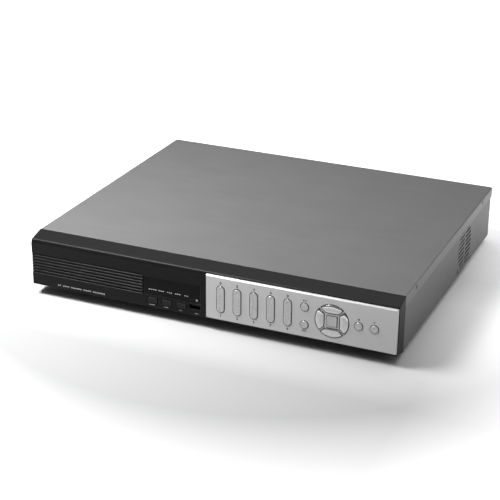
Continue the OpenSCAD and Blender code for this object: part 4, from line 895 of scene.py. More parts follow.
class RECORDER_OT_control_panel(bpy.types.Operator):
    """Silver panel: a bevelled plate whose key holes all have rounded rims"""

    bl_idname = "recorder.control_panel"
    bl_label = "Control panel"

    def execute(self, context):
        s = sizes()
        low, high = box("control_panel")
        thick, gap, lip = high[1] - low[1], s["key_gap"], s["hole_edge"]
        place = to_front(low[1])
        holes = []
        for key in NUMBER_KEYS:
            x, _, z = middle(key)
            tall = box(key)[1][2] - box(key)[0][2]
            holes.append(stadium(x, z, KEY_WIDTH + 2 * gap, tall + 1.36))
        for key in ROUND_KEYS:
            x, _, z = middle(key)
            holes.append(circle(x, z, BUTTON_RADIUS + gap, 48))
        centre, enter = ring_centre(), ENTER_WIDTH / 2 + gap
        for quarter in range(4):
            hole = turned(sector(RING_RADIUS + gap, RIB / 2, enter + ENTER_FRAME), quarter)
            holes.append(hole + centre)
        x, z = centre
        holes.append(rectangle(x - enter, x + enter, z - enter, z + enter, 0.5))

        # The bevel is deeper in height than in width: share 1 is its inner edge and 0 its outer one.
        share = np.array([1.25, 1.04, 1.0, 0.96, 0.5, 0.1, 0.03, 0, 0, 0.12])
        depth = np.array([0, 0, 0.012, 0.06, 0.66, 1.16, 1.28, 1.42, thick - 0.15, thick])
        side, top = 0.78, 1.3
        rings = np.array([
            rectangle(low[0] + a * side, high[0] - a * side, low[2] + a * side, high[2] - a * top, 0.45)
            for a in share
        ])
        skin = Skin()
        skin.band(rings, depth, place)
        front, back = arc(lip), arc(0.1)[::-1]
        inset = np.concatenate([[lip + 0.12], front[:, 0], back[:, 0]])
        drop = np.concatenate([[0], front[:, 1], thick - back[:, 1]])
        walls = [[offset(hole[::-1], -d) for d in inset] for hole in holes]
        for wall in walls:
            skin.band(wall, drop, place)
        skin.fill([rings[0]] + [wall[0] for wall in walls], 0.0, place)
        skin.fill([rings[-1]] + [wall[-1] for wall in walls], thick, place)
        skin.object(
            "silver_control_panel", finish("silver_panel"), stands_for=["control_panel"], slot="silver_panel"
        )
        return {"FINISHED"}


def collar_and_stem(skin, key, outline, stem_places):
    """The collar behind the panel's hole and the turned stems that press the switches."""
    back = box(key)[1][1]
    rear, thick, stem, chamfer = back - 2.4, 0.9, 1.6, 0.3
    skin.plate(outline, [], thick, to_front(rear - thick), 0.1, 0.1)
    profile = [(0, rear - 0.5), (stem, rear - 0.5), (stem, back - chamfer), (stem - chamfer, back), (0, back)]
    for x, z in stem_places:
        skin.lathe(profile, (x, 0, z), "y", 20)


def key_cap(skin, key, look="silver_keys", slot="silver_keys", angle=38):
    """A key's cap as a piece that stands for the key's node and rides on its body."""
    skin.object(key + "_cap", finish(look), key, [key], slot, angle)


class RECORDER_OT_number_keys(bpy.types.Operator):
    """Rocker keys: stadium outlines drawn in ring by ring, with a rounded edge and a dimple at each end"""

    bl_idname = "recorder.number_keys"
    bl_label = "Number keys"

    def execute(self, context):
        edge = sizes()["key_edge"]
        for key in NUMBER_KEYS:
            low, high = box(key)
            x, _, z = middle(key)
            tall = high[2] - low[2]
            reach = tall / 2 - KEY_WIDTH / 2
            outline = stadium(x, z, KEY_WIDTH, tall, 20)
            side_in, side_drop = soft_edge(edge, 6)
            crown = np.linspace(edge, KEY_WIDTH / 2 - 2e-4, 22)[1:]
            inset = np.concatenate([[0, 0], side_in, crown])
            drop = np.concatenate([[KEY_THICK, 1.4], side_drop, 0 * crown])
            rings = np.array([offset(outline, -d) for d in inset])
            # The long sides get more points, so that the dimples keep their shape.
            rings = np.concatenate([resample(ring)[None] for ring in rings])
            depth = np.repeat(drop[:, None], rings.shape[1], 1)
            share = np.clip((inset - edge) / (KEY_WIDTH / 2 - edge), 0, 1)[:, None]
            depth += 0.03 * share
            for side in (-1, 1):
                away = np.hypot(rings[..., 0] - x, rings[..., 1] - z - side * reach)
                depth += DIMPLE_DEPTH * np.clip(1 - (away / DIMPLE_RADIUS) ** 2, 0, 1)
                depth -= DIMPLE_RIM * np.exp(-(((away - DIMPLE_RADIUS - 0.35) / 0.3) ** 2)) * (share > 0)
            skin = Skin()
            place = to_front(low[1])
            skin.grid(place(rings[..., 0], rings[..., 1], depth), wrap=True)
            skin.fill([rings[0]], KEY_THICK, place)
            lug = rectangle(low[0], high[0], z - 3, z + 3, 0.3)
            collar_and_stem(skin, key, lug, [(x, z - reach), (x, z + reach)])
            key_cap(skin, key)
        return {"FINISHED"}


def resample(ring, extra=14):
    """An outline with more points on its two long sides, which start after each half-round end."""
    gaps = np.linalg.norm(np.roll(ring, -1, 0) - ring, axis=1)
    order = np.sort(np.argsort(gaps)[-2:])
    parts, start = [], 0
    for i in order:
        parts.append(ring[start : i + 1])
        share = np.linspace(0, 1, extra + 2)[1:-1, None]
        parts.append(ring[i] + share * (ring[(i + 1) % len(ring)] - ring[i]))
        start = i + 1
    parts.append(ring[start:])
    return np.concatenate(parts)


class RECORDER_OT_round_buttons(bpy.types.Operator):
    """Round buttons: a turned dome with a rounded rim and a small thumb dimple"""

    bl_idname = "recorder.round_buttons"
    bl_label = "Round buttons"

    def execute(self, context):
        edge = sizes()["key_edge"]
        for key in ROUND_KEYS:
            low, high = box(key)
            x, _, z = middle(key)
            front, back = low[1], high[1]
            r = np.linspace(0, BUTTON_RADIUS - edge, 16)
            dish = 0.22 * np.exp(-((r / 1.5) ** 4)) + 0.02 * (r / BUTTON_RADIUS) ** 2
            a = np.linspace(0, math.pi / 2, 8)[1:]
            shoulder = BUTTON_RADIUS - edge
            rim = [(shoulder + edge * math.sin(t), front + edge * (1 - math.cos(t)) + 0.02) for t in a]
            collar = back - 3.3
            tail = [(BUTTON_RADIUS, collar), (high[0] - x, collar), (high[0] - x, collar + 0.9)]
            tail += [(1.6, collar + 0.9), (1.6, back - 0.3), (1.3, back), (0, back)]
            skin = Skin()
            skin.lathe([*zip(r, front + dish), *rim, *tail], (x, 0, z), "y", 56)
            key_cap(skin, key)
        return {"FINISHED"}


class RECORDER_OT_cursor_keys(bpy.types.Operator):
    """Cursor keys: pillows between a chord and the ring's arc, round a dished square button"""

    bl_idname = "recorder.cursor_keys"
    bl_label = "Cursor keys"

    def execute(self, context):
        s = sizes()
        gap = s["key_gap"]
        centre, frame_half = ring_centre(), ENTER_WIDTH / 2 + gap + ENTER_FRAME
        chord, half_gap, columns = frame_half + gap, RIB / 2 + gap, 34
        a, turn = sector_ends(RING_RADIUS, half_gap, chord)
        for quarter, key in enumerate(CURSOR_KEYS):
            low, high = box(key)
            # u runs outwards from the chord to the arc, and v runs from one diagonal to the other.
            u = (1 - np.cos(np.linspace(0, math.pi, 22))) / 2
            v = (1 - np.cos(np.linspace(0, math.pi, columns))) / 2
            inner = np.stack([a - 2 * a * v, np.full(columns, chord)], -1)
            sweep = turn + (math.pi - 2 * turn) * v
            outer = RING_RADIUS * np.stack([np.cos(sweep), np.sin(sweep)], -1)
            flat = inner * (1 - u[:, None, None]) + outer * u[:, None, None]
            hump = (1 - abs(2 * u - 1) ** 2.4)[:, None] ** 0.5 * (1 - abs(2 * v - 1) ** 5.0)[None] ** 0.4
            depth = CURSOR_CROWN * (1 - hump)
            flat = turned(flat, quarter) + centre
            place = to_front(low[1])
            top = place(flat[..., 0], flat[..., 1], depth)
            bottom = place(flat[..., 0], flat[..., 1], np.full(depth.shape, CURSOR_THICK))
            skin = Skin()
            skin.shell(top, bottom, np.ones((len(u) - 1, columns - 1), bool))
            collar = turned(sector(RING_RADIUS + gap + 0.6, half_gap, chord), quarter) + centre
            stem = turned(np.array([[0, (chord + RING_RADIUS) / 2]]), quarter)[0] + centre
            collar_and_stem(skin, key, collar, [stem])
            # The cursor keys' caps take the lighter key plating, whose extra lightness is a painted
            # highlight.
            key_cap(skin, key, "plated_keys_painted_highlight", angle=50)

        low, high = box("enter_button")
        x, z = centre
        half, edge, dish = ENTER_WIDTH / 2, 0.5, 0.3
        side_in, side_drop = soft_edge(edge, 5)
        crown = np.linspace(edge, half - 0.01, 12)[1:]
        inset = np.concatenate([[0, 0], side_in, crown])
        drop = np.concatenate([[KEY_THICK, 1.2], side_drop, 0 * crown])
        # Dished: the depth grows as 1 - (1 - share)^2, where share runs from the edge to the middle.
        share = np.clip((inset - edge) / (half - edge), 0, 1)
        drop += dish * (1 - (1 - share) ** 2)
        skin = Skin()
        skin.block(drawn_in(x, z, ENTER_WIDTH, ENTER_WIDTH, inset, 0.8, 4), drop, to_front(low[1]))
        collar_and_stem(skin, "enter_button", rectangle(low[0], high[0], low[2], high[2], 0.5), [(x, z)])
        key_cap(skin, "enter_button")
        return {"FINISHED"}


class RECORDER_OT_function_keys(bpy.types.Operator):
    """Three black keys below the window: rounded bars with a soft edge"""

    bl_idname = "recorder.function_keys"
    bl_label = "Function keys"

    def execute(self, context):
        for key in FUNCTION_KEYS:
            low, high = box(key)
            x, _, z = middle(key)
            edge = 0.4
            side_in, side_drop = soft_edge(edge, 5)
            inset = np.concatenate([[0, 0], side_in, [edge + 0.3, 1.2, 2.2, 3.0]])
            drop = np.concatenate([[FUNCTION_THICK, 1.0], side_drop, [0.01, 0.07, 0.11, 0.12]])
            skin = Skin()
            rings = drawn_in(x, z, FUNCTION_WIDTH, FUNCTION_HEIGHT, inset, 1.0, 5)
            skin.block(rings, drop, to_front(low[1]))
            collar_and_stem(skin, key, rectangle(low[0], high[0], low[2], high[2], 1.0), [(x, z)])
            key_cap(skin, key, "black_keys", "black_keys")
        return {"FINISHED"}


# ---- Printed marks ----

PRINT_EDGE = (0.01, 0.005)
SIGN_RISE, DIGIT_RISE, DIGIT_FALL = 7.7, 18.8, 19.0
ARROW = (
    (-2.4, 0.1), (-0.9, -1.0), (-0.9, -0.3), (2.3, -0.3), (2.3, 1.0), (1.7, 1.0), (1.7, 0.35), (-0.9, 0.35),
    (-0.9, 1.15),
)
CAPTIONS = ((6.3, 16.7), (18.1, 25.3), (28.4, 35.1), (37.8, 45.1), (49.1, 54.3))
LINE_GROUPS = ((2, 2.2), (4, 2.1), (6, 2.3), (4, 2.6), (7, 2.2))
VIDEO_FLANGE, VIDEO_PITCH, VIDEO_ROWS = 7.5, 16.0, (49.0, 26.0)
PHONO_FLANGE, PHONO_PITCH, PHONO_LABELS = 5.2, 12.0, (54.6, 36.8)


def digits(skin, text, centre, height, place, thick):
    """Numbers as flat letters, turned into a mesh and centred on a point."""
    curve = bpy.data.curves.new("digits", "FONT")
    curve.body, curve.size, curve.extrude, curve.offset = text, height * 1.4, thick / 2, height * 0.055
    curve.align_x, curve.align_y, curve.resolution_u = "CENTER", "CENTER", 3
    thing = bpy.data.objects.new("digits", curve)
    bpy.context.scene.collection.objects.link(thing)
    mesh = bpy.data.meshes.new_from_object(thing.evaluated_get(bpy.context.evaluated_depsgraph_get()))
    co = np.zeros(len(mesh.vertices) * 3)
    mesh.vertices.foreach_get("co", co)
    co = co.reshape(-1, 3)
    co[:, :2] += np.asarray(centre) - (co[:, :2].min(0) + co[:, :2].max(0)) / 2
    start = skin.count
    skin.points.append(place(co[:, 0], co[:, 1], thick / 2 - co[:, 2]))
    skin.count += len(co)
    skin.faces += [[start + i for i in polygon.vertices] for polygon in mesh.polygons]
    bpy.data.objects.remove(thing)
    bpy.data.curves.remove(curve)
    bpy.data.meshes.remove(mesh)


def bar(skin, u, v, width, height, place, thick):
    """A printed dash."""
    radius = min(0.2, height / 2.1)
    outline = rectangle(u - width / 2, u + width / 2, v - height / 2, v + height / 2, radius)
    skin.plate(outline, [], thick, place, *PRINT_EDGE)


def dashes(skin, u, v, count, pitch, width, height, place, thick):
    """A row of printed dashes, centred in steps of pitch that start at u."""
    for k in range(count):
        bar(skin, u + (k + 0.5) * pitch, v, width, height, place, thick)


class RECORDER_OT_markings(bpy.types.Operator):
    """Numbers beside the keys, plain signs for the functions, and white dashes on the black half"""

    bl_idname = "recorder.markings"
    bl_label = "Printed marks"

    def execute(self, context):
        s = sizes()
        thick, digit = s["print_height"], s["digit"]
        panel_front = box("control_panel")[0][1]
        place = to_front(panel_front - thick)
        skin = Skin()
        for i, key in enumerate(NUMBER_KEYS):
            x, _, z = middle(key)
            digits(skin, str(2 * i), (x, z + DIGIT_RISE), digit, place, thick)
            digits(skin, str(2 * i + 1), (x, z - DIGIT_FALL), digit, place, thick)
        x, _, z = middle("escape_button")
        skin.plate(np.array(ARROW) + [x, z + 7.3], [], thick, place, *PRINT_EDGE)
        x, _, z = middle("menu_button")
        for step in (-0.85, 0, 0.85):
            bar(skin, x, z - 6.9 + step, 5.2, 0.42, place, thick)
        x, _, z = middle("record_button")
        skin.plate(circle(x, z + SIGN_RISE, 1.05, 28), [], thick, place, *PRINT_EDGE)
        x, _, z = middle("play_button")
        triangle = rounded([(-0.9, -1.15), (1.15, 0), (-0.9, 1.15)], 0.12)
        skin.plate(triangle + [x, z + SIGN_RISE], [], thick, place, *PRINT_EDGE)
        skin.object("panel_marks", finish("dark_print"))

        skin = Skin()
        face = face_y()
        low, high = box("display_window")
        on_window, on_face = to_front(low[1] - thick), to_front(face - thick)
        # Plain dashes stand in for the lamps' captions, with runs of different lengths.
        z = low[2] + 6.5
        for start, end in CAPTIONS:
            runs = max(2, round((end - start) / 2.6))
            pitch = (end - start) / runs
            dashes(skin, low[0] + start, z, runs, pitch, pitch * 0.66, 0.95, on_window, thick)
        for key, runs in zip(FUNCTION_KEYS, (4, 3, 2)):
            x, _, z = middle(key)
            dashes(skin, x - 0.9 - runs * 0.9, z - 5.3, runs, 1.8, 1.15, 0.8, on_face, thick)
        x, z = port_centre()
        ring = [circle(x + 2.3, z + 8.1, radius, 24) for radius in (1.15, 0.6)]
        skin.plate(ring[0], [ring[1]], thick, on_face, *PRINT_EDGE)
        dashes(skin, x - 0.25, z - 7.6, 3, 1.5, 0.9, 0.8, on_face, thick)
        # The long line at the lower left, as dashes in groups.
        x, z = box("front_bezel")[0][0] + 32.4, box("front_bezel")[0][2] + 9.6
        for group, width in LINE_GROUPS:
            dashes(skin, x, z, group, width, width * 0.62, 1.25, on_face, thick)
            x += group * width + 1.9
        skin.object("face_marks", finish("white_print"))

        # Numbers of the sockets on the rear panel.
        skin = Skin()
        low, high = box("rear_panel")
        rear = to_rear(high[1] + thick)
        for column, row in np.ndindex(8, 2):
            x = box("video_jacks")[1][0] - VIDEO_FLANGE - column * VIDEO_PITCH
            digits(skin, str(column + 1 + 8 * row), (-x, VIDEO_ROWS[row] + 10.6), 2.2, rear, thick)
        for column, row in np.ndindex(3, 2):
            x = box("phono_jacks")[1][0] - PHONO_FLANGE - column * PHONO_PITCH
            digits(skin, str(2 * column + row + 1), (-x, PHONO_LABELS[row]), 2.0, rear, thick)
        for k in range(8):
            x = box("alarm_terminals")[1][0] - 1 - 3.5 * (k + 0.5)
            digits(skin, str(k + 1), (-x, box("alarm_terminals")[1][2] + 2.2), 1.8, rear, thick)
        skin.object("rear_marks", finish("white_print"))
        return {"FINISHED"}


# ---- Case ----

SCREW_DROP, SCREW_FRONT, SCREW_REAR, SCREW_HEAD = 4.6, 36.0, 44.0, 2.7


class RECORDER_OT_top_cover(bpy.types.Operator):
    """Steel cover: a flat pattern with sunk screw holes, wrapped round a quarter circle at both folds"""

    bl_idname = "recorder.top_cover"
    bl_label = "Top cover"

    def execute(self, context):
        s = sizes()
        low, high = box("top_cover")
        r, sheet, half, top = s["fold"], s["sheet"], high[0], high[2]
        bend = half - r
        side = bend + r * math.pi / 2
        reach = side + top - r - low[2]

        def place(u, v, w):
            """u runs over the top and down a flange: within the fold its angle is (|u| - bend) / r."""
            turn = np.clip((abs(u) - bend) / r, 0, math.pi / 2)
            across = np.minimum(abs(u), bend) + (r - w) * np.sin(turn)
            height = top - r + (r - w) * np.cos(turn) - np.maximum(abs(u) - side, 0)
            return np.stack([np.sign(u) * across, v, height], -1)

        bends = np.linspace(bend, side, 9)
        u = np.concatenate([-bends[::-1], np.linspace(-bend, bend, 22)[1:-1], bends])
        v = np.linspace(low[1], high[1], 14)
        edge = [np.stack([u, np.full(len(u), low[1])], -1), np.array([(reach, low[1])])]
        edge += [np.stack([np.full(len(v), reach), v], -1)[1:]]
        edge += [np.stack([u[::-1], np.full(len(u), high[1])], -1)]
        edge += [np.array([(-reach, high[1])]), np.stack([np.full(len(v), -reach), v[::-1]], -1)[1:]]
        outline = np.concatenate(edge)
        inset = np.array([0.3, 0.12, 0.03, 0, 0, 0.03, 0.1])
        drop = np.array([0, 0.03, 0.12, 0.3, sheet - 0.1, sheet - 0.03, sheet])
        skin = Skin()
        rim = [offset(outline, -d) for d in inset]
        skin.band(rim, drop, place)
        # Countersunk holes: radius falls in a straight line from the screw's head to its shank.
        screw_u = side + SCREW_DROP - r
        radius = np.array([0.3, 0.1, 0.02, 0, -1.2, -1.25, -1.2]) + SCREW_HEAD
        depth = np.array([0, 0.02, 0.08, 0.16, sheet - 0.1, sheet - 0.05, sheet])
        walls = []
        for v_screw in (low[1] + SCREW_FRONT, high[1] - SCREW_REAR):
            for sign in (-1, 1):
                walls.append([circle(sign * screw_u, v_screw, rr, 36)[::-1] for rr in radius])
        for wall in walls:
            skin.band(wall, depth, place)
        for index, w in ((0, 0.0), (-1, sheet)):
            ends = inset[index]
            rows = np.linspace(low[1] + ends, high[1] - ends, 14)
            lines = [np.stack([np.full(len(rows), a), rows], -1) for a in u]
            skin.fill([rim[index]] + [wall[index] for wall in walls], w, place, lines)
        skin.object(
            "cover_sheet", finish("cover_paint"), stands_for=["top_cover"], slot="cover_steel", angle=30
        )
        return {"FINISHED"}


def edged(node, name, finish_name, width=0.15, body="root", side=0):
    """A copy of a CAD node's mesh, merged, with rounded edges; side keeps the front (-1) or rear (1) half."""
    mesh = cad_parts[node].data.copy()
    edit = bmesh.new()
    edit.from_mesh(mesh)
    bmesh.ops.delete(edit, geom=[v for v in edit.verts if v.co.y * side < 0], context="VERTS")
    bmesh.ops.remove_doubles(edit, verts=edit.verts, dist=2e-6)
    bmesh.ops.dissolve_limit(edit, angle_limit=math.radians(0.4), verts=edit.verts, edges=edit.edges)
    bmesh.ops.recalc_face_normals(edit, faces=edit.faces)
    edit.to_mesh(mesh)
    edit.free()
    piece = add_piece(name, mesh, finish(finish_name), 38, width)
    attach(piece, body)
    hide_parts(node)
    return piece


class RECORDER_OT_case(bpy.types.Operator):
    """Folded tray and rear panel with broken edges, and four turned rubber feet"""

    bl_idname = "recorder.case"
    bl_label = "Tray, rear panel and feet"

    def execute(self, context):
        edged("base_tray", "tray_sheet", "case_paint", 0.12)
        edged("rear_panel", "rear_sheet", "case_paint", 0.12)
        low, high = box("rubber_feet")
        foot_r, tall = 11.0, high[2] - low[2]
        bore, seat, hole = 4.5, tall - 2.4, 1.8
        profile = [(bore + 0.3, 0), (foot_r - 2.2, 0), (foot_r - 1.7, 0.12), (foot_r - 1.35, 0.4)]
        profile += [(foot_r - 0.5, 1.1), (foot_r - 0.38, 1.5), (foot_r - 0.02, tall - 0.2)]
        profile += [(foot_r - 0.2, tall), (hole, tall), (hole, seat)]
        profile += [(bore - 0.2, seat), (bore, seat - 0.2), (bore, 0.3), (bore + 0.3, 0)]
        skin = Skin()
        skin.lathe(profile, (0, 0, 0), "z", 48)
        near, far = low[:2] + foot_r, high[:2] - foot_r
        skin.repeat([(x, y, 0) for x in (near[0], far[0]) for y in (near[1], far[1])])
        skin.object("rubber_feet_turned", finish("rubber"), stands_for=["rubber_feet"], slot="rubber")
        return {"FINISHED"}


# ---- Sockets on the rear panel ----


def jack_centres(node, radius, columns, pitch):
    """Centres (x, z) of the sockets in two rows, starting from the node's own corner."""
    low, high = box(node)
    rows = (low[2] + radius, high[2] - radius)
    return [(high[0] - radius - i * pitch, z) for i in range(columns) for z in rows]


def threaded(r, a, along, core, crest, start, end, pitch):
    """Radius with a thread: crest - depth * |saw|, where saw runs once round for each pitch along."""
    turn = (along / pitch - a / (2 * math.pi)) % 1
    cut = (crest - core) * (1 - abs(2 * turn - 1)) * ((along > start) & (along < end))
    return r - np.where(abs(r - crest) < 1e-6, cut, 0)


class RECORDER_OT_video_jacks(bpy.types.Operator):
    """Bayonet jacks: turned barrels with a threaded root and two lugs, hexagon nuts and insulators"""

    bl_idname = "recorder.video_jacks"
    bl_label = "Video jacks"

    def execute(self, context):
        low, high = box("video_jacks")
        rear = box("rear_panel")[1][1]
        tip, back, flange = high[1], low[1], VIDEO_FLANGE
        centres = jack_centres("video_jacks", flange, 8, VIDEO_PITCH)
        out = low[0] + flange
        centres += [(out, z) for z in sorted({z for _, z in centres})]
        places = [(x, 0, z) for x, z in centres]
        thread, root, barrel, mouth, thread_pitch = 6.3, rear + 3.4, 4.55, 4.05, 0.79
        lug = tip - 4.2

        rows = np.linspace(rear - 0.6, root - 0.25, 34)
        profile = [(2.8, back), (flange, back), (flange, rear - 1.2), (thread, rear - 1.2)]
        profile += [(thread, y) for y in rows]
        profile += [(thread - 0.35, root), (barrel + 0.25, root), (barrel, root + 0.25)]
        profile += [(barrel, lug + 1.0), (4.8, lug + 1.05), (4.8, tip - 0.45), (4.7, tip - 0.2), (4.45, tip)]
        profile += [(mouth + 0.1, tip), (mouth, tip - 0.12), (mouth, rear + 3), (2.8, rear + 3), (2.8, back)]
        skin = Skin()
        skin.lathe(
            profile, (0, 0, 0), "y", 48,
            lambda r, a, y: threaded(r, a, y, thread - 0.3, thread, rear, root - 0.3, thread_pitch),
        )
        # Two lugs, each a stub turned by an eighth of a turn or five eighths.
        for side in (1, -1):
            c = math.sqrt(0.5) * side
            stub = [(0, 4.3), (0.98, 4.3), (0.98, 5.25), (0.9, 5.42), (0.7, 5.5), (0, 5.5)]
            part = Skin()
            part.lathe(stub, (0, 0, 0), "x", 20)
            points = np.concatenate(part.points)
            across, upright = points[:, 0], points[:, 2]
            turned_points = [c * across - c * upright, lug + points[:, 1], c * across + c * upright]
            skin.add(np.stack(turned_points, -1), part.faces)
        skin.repeat(places)
        skin.object("bayonet_barrels", finish("nickel"), stands_for=["video_jacks"], slot="nickel", angle=32)

        # Hexagon nut: the distance to a flat is a / cos(angle from its middle), chamfered by a cone.
        flats, thick, bore = 14.6 / 2, 2.4, thread + 0.05
        corner = flats / math.cos(math.pi / 6)

        def hexagon(r, a, y):
            from_flat = (a + math.pi / 6) % (math.pi / 3) - math.pi / 6
            return np.where(r > flats - 0.3, np.minimum(r, flats / np.cos(from_flat)), r)

        profile = [(bore, rear), (corner, rear), (corner, rear + thick - 0.9)]
        profile += [(corner - 0.35, rear + thick - 0.45)]
        profile += [(flats + 0.1, rear + thick - 0.1), (flats - 0.25, rear + thick)]
        profile += [(bore + 0.25, rear + thick)]
        profile += [(bore, rear + thick - 0.25), (bore, rear)]
        skin = Skin()
        skin.lathe(profile, (0, 0, 0), "y", 72, hexagon)
        skin.repeat(places)
        skin.object("hexagon_nuts", finish("nickel"), stands_for=["jack_nuts"], slot="nickel", angle=24)

        # Insulator: a tube round the contact, stepped where it passes into the open barrel.
        inner, face = box("jack_insulators")[0][1], box("jack_insulators")[1][1]
        bore, seat, nose = 1.15, 2.75, 2.4
        step = rear + 3.05
        profile = [(bore, inner), (seat, inner), (seat, step), (nose, step), (nose, face - 0.15)]
        profile += [(nose - 0.15, face), (bore + 0.15, face), (bore, face - 0.15), (bore, inner)]
        skin = Skin()
        skin.lathe(profile, (0, 0, 0), "y", 32)
        skin.repeat(places)
        skin.object(
            "insulator_tubes", finish("white_plastic"), stands_for=["jack_insulators"],
            slot="white_plastic", angle=32,
        )
        return {"FINISHED"}


class RECORDER_OT_phono_jacks(bpy.types.Operator):
    """Phono jacks: a turned collar with a ring groove round a coloured nose"""

    bl_idname = "recorder.phono_jacks"
    bl_label = "Phono jacks"

    def execute(self, context):
        low, high = box("phono_jacks")
        rear = box("rear_panel")[1][1]
        flange, collar, groove, nose, bore, tip, depth = PHONO_FLANGE, 4.15, 3.4, 2.6, 1.65, high[1], 1.4
        places = [(x, 0, z) for x, z in jack_centres("phono_jacks", flange, 3, PHONO_PITCH)]
        neck = collar - 0.25
        profile = [(bore, low[1]), (flange, low[1]), (flange, rear - 1.2), (neck, rear - 1.2)]
        profile += [(neck, rear + 0.6), (collar, rear + 0.75), (collar, tip - 0.75)]
        profile += [(collar - 0.15, tip - 0.3)]
        profile += [(collar - 0.45, tip), (groove + 0.1, tip), (groove, tip - 0.1), (groove, rear + 6)]
        profile += [(nose, rear + 6), (nose, tip - depth), (bore, tip - depth), (bore, low[1])]
        skin = Skin()
        skin.lathe(profile, (0, 0, 0), "y", 44)
        skin.repeat(places)
        skin.object("phono_collars", finish("gold"), stands_for=["phono_jacks"], slot="gold", angle=32)
        for row, dye in ((0, "red_plastic"), (1, "white_plastic")):
            ring = [(bore, tip - depth), (nose, tip - depth), (nose, tip - 0.15), (nose - 0.1, tip)]
            ring += [(bore + 0.1, tip), (bore, tip - 0.1), (bore, tip - depth)]
            skin = Skin()
            skin.lathe(ring, (0, 0, 0), "y", 36)
            skin.repeat(places[row::2])
            skin.object("phono_nose_" + dye.split("_")[0], finish(dye), slot="white_plastic")
        return {"FINISHED"}


class RECORDER_OT_data_sockets(bpy.types.Operator):
    """Network, data and monitor sockets, terminal block, mains inlet and switch, with broken edges"""

    bl_idname = "recorder.data_sockets"
    bl_label = "Data and mains sockets"

    def execute(self, context):
        edged("usb_shells", "data_socket_shells", "tin_plate", 0.08, side=1)
        edged("usb_shells", "front_socket_shell", "dark_metal", 0.08, side=-1)
        edged("usb_tongues", "data_socket_tongues", "white_plastic", 0.1, side=1)
        edged("usb_tongues", "front_socket_tongue", "black_plastic", 0.1, side=-1)
        edged("network_port", "network_socket", "tin_plate", 0.15)
        edged("vga_shell", "monitor_socket_shell", "tin_plate", 0.12)
        edged("vga_insert", "monitor_socket_insert", "blue_plastic", 0.08)
        edged("alarm_terminals", "terminal_block", "green_plastic", 0.15)
        edged("power_inlet", "mains_inlet", "black_plastic", 0.3)
        edged("inlet_blades", "mains_blades", "tin_plate", 0.15)
        edged("power_switch_frame", "switch_frame", "black_plastic", 0.3)
        edged(
            "power_switch_rocker", "switch_rocker", "black_keys", 0.35, "power_switch_rocker"
        )
        return {"FINISHED"}


# ---- Fan ----


class RECORDER_OT_fan(bpy.types.Operator):
    """Fan rotor: a turned hub and seven cambered blades, twisted from root to tip"""

    bl_idname = "recorder.fan"
    bl_label = "Side fan"

    def execute(self, context):
        edged("fan_frame", "fan_housing", "black_plastic", 0.25)
        low, high = box("fan_rotor")
        centre = middle("fan_rotor")
        tip = (high[2] - low[2]) / 2 - 0.05
        hub, bore, blades, thick, disc_r, lean = 13.0, 1.55, 7, 1.2, 11.7, 0.6
        x0, x1 = low[0] + 0.02, high[0] - 0.02
        profile = [(bore, x0), (hub - 0.2, x0), (hub, x0 + 0.2), (hub, x1 - 0.9), (hub - 0.3, x1 - 0.3)]
        profile += [(hub - 0.9, x1 - 0.1), (0, x1 - 0.1), (0, x1 - 1.2), (bore, x1 - 1.2), (bore, x0)]
        label = Skin()
        disc = [(0, x1 - 0.08), (disc_r, x1 - 0.08), (disc_r + 0.05, x1 - 0.05), (disc_r, x1), (0, x1)]
        label.lathe(disc, (0, centre[1], centre[2]), "x", 48)
        label.object("fan_hub_label", finish("label"), "fan_rotor", slot="silver_keys")
        skin = Skin()
        skin.lathe(profile, (0, centre[1], centre[2]), "x", 64)

        # share runs over the chord and span from hub to tip: angle = start + sweep + chord * width(span).
        span = np.linspace(0, 1, 13)[:, None]
        share = np.linspace(-0.5, 0.5, 13)[None]
        radius = hub - 0.6 + (tip - hub + 0.6) * span + 0 * share
        width = math.radians(34) * (1 + 0.12 * span)
        sweep = math.radians(16) * span**1.5
        pitch = (x1 - x0) - 1.0
        camber = 0.9 * np.sin(math.pi * (share + 0.5)) * (0.4 + 0.6 * span)
        taper = thick / 2 * np.sqrt(np.maximum(1 - (2 * share) ** 4, 0.05)) * (1 - 0.35 * span)
        mid_x = (x0 + x1) / 2 + share * pitch * (1 - 0.18 * span)
        for k in range(blades):
            angle = 2 * math.pi * k / blades + sweep + share * width
            sheets = []
            for side in (1, -1):
                shift = camber + side * taper
                a = angle + shift * lean / radius
                x = np.clip(mid_x - shift * lean, x0, x1)
                y, z = centre[1] + radius * np.cos(a), centre[2] + radius * np.sin(a)
                sheets.append(np.stack([x, y, z], -1))
            skin.shell(sheets[0], sheets[1], np.ones((12, 12), bool))
        skin.object(
            "fan_rotor_moulding", finish("black_plastic"), "fan_rotor", ["fan_rotor"],
            slot="black_plastic", angle=40,
        )
        return {"FINISHED"}


# ---- Everything that keeps its CAD shape ----


class RECORDER_OT_inner_parts(bpy.types.Operator):
    """Finishes for the parts that keep their own shape: boards, drive, supply, screws and lamps"""

    bl_idname = "recorder.inner_parts"
    bl_label = "Inner parts' finishes"

    def execute(self, context):
        for node, name in NODE_FINISH.items():
            paint_node(node, name)
        return {"FINISHED"}


# ---- Studio ----

CAMERA_PLACE = (0.5797, -1.4156, 0.6745)
CAMERA_TURN, CAMERA_TILT, CAMERA_ROLL = math.radians(23.30), math.radians(23.22), math.radians(0.57)
CAMERA_LENS, CAMERA_SENSOR = 101.2, 36.0
# Floor: its size, the share of its colour left by the painted shadow in front, the strength of its painted
# light further off, and the air's glow.
FLOOR_REACH, NEAR_SHADE, BACKDROP_PAINTED_LIGHT, AIR_GLOW = 60000.0, 0.42, 0.6, 0.16

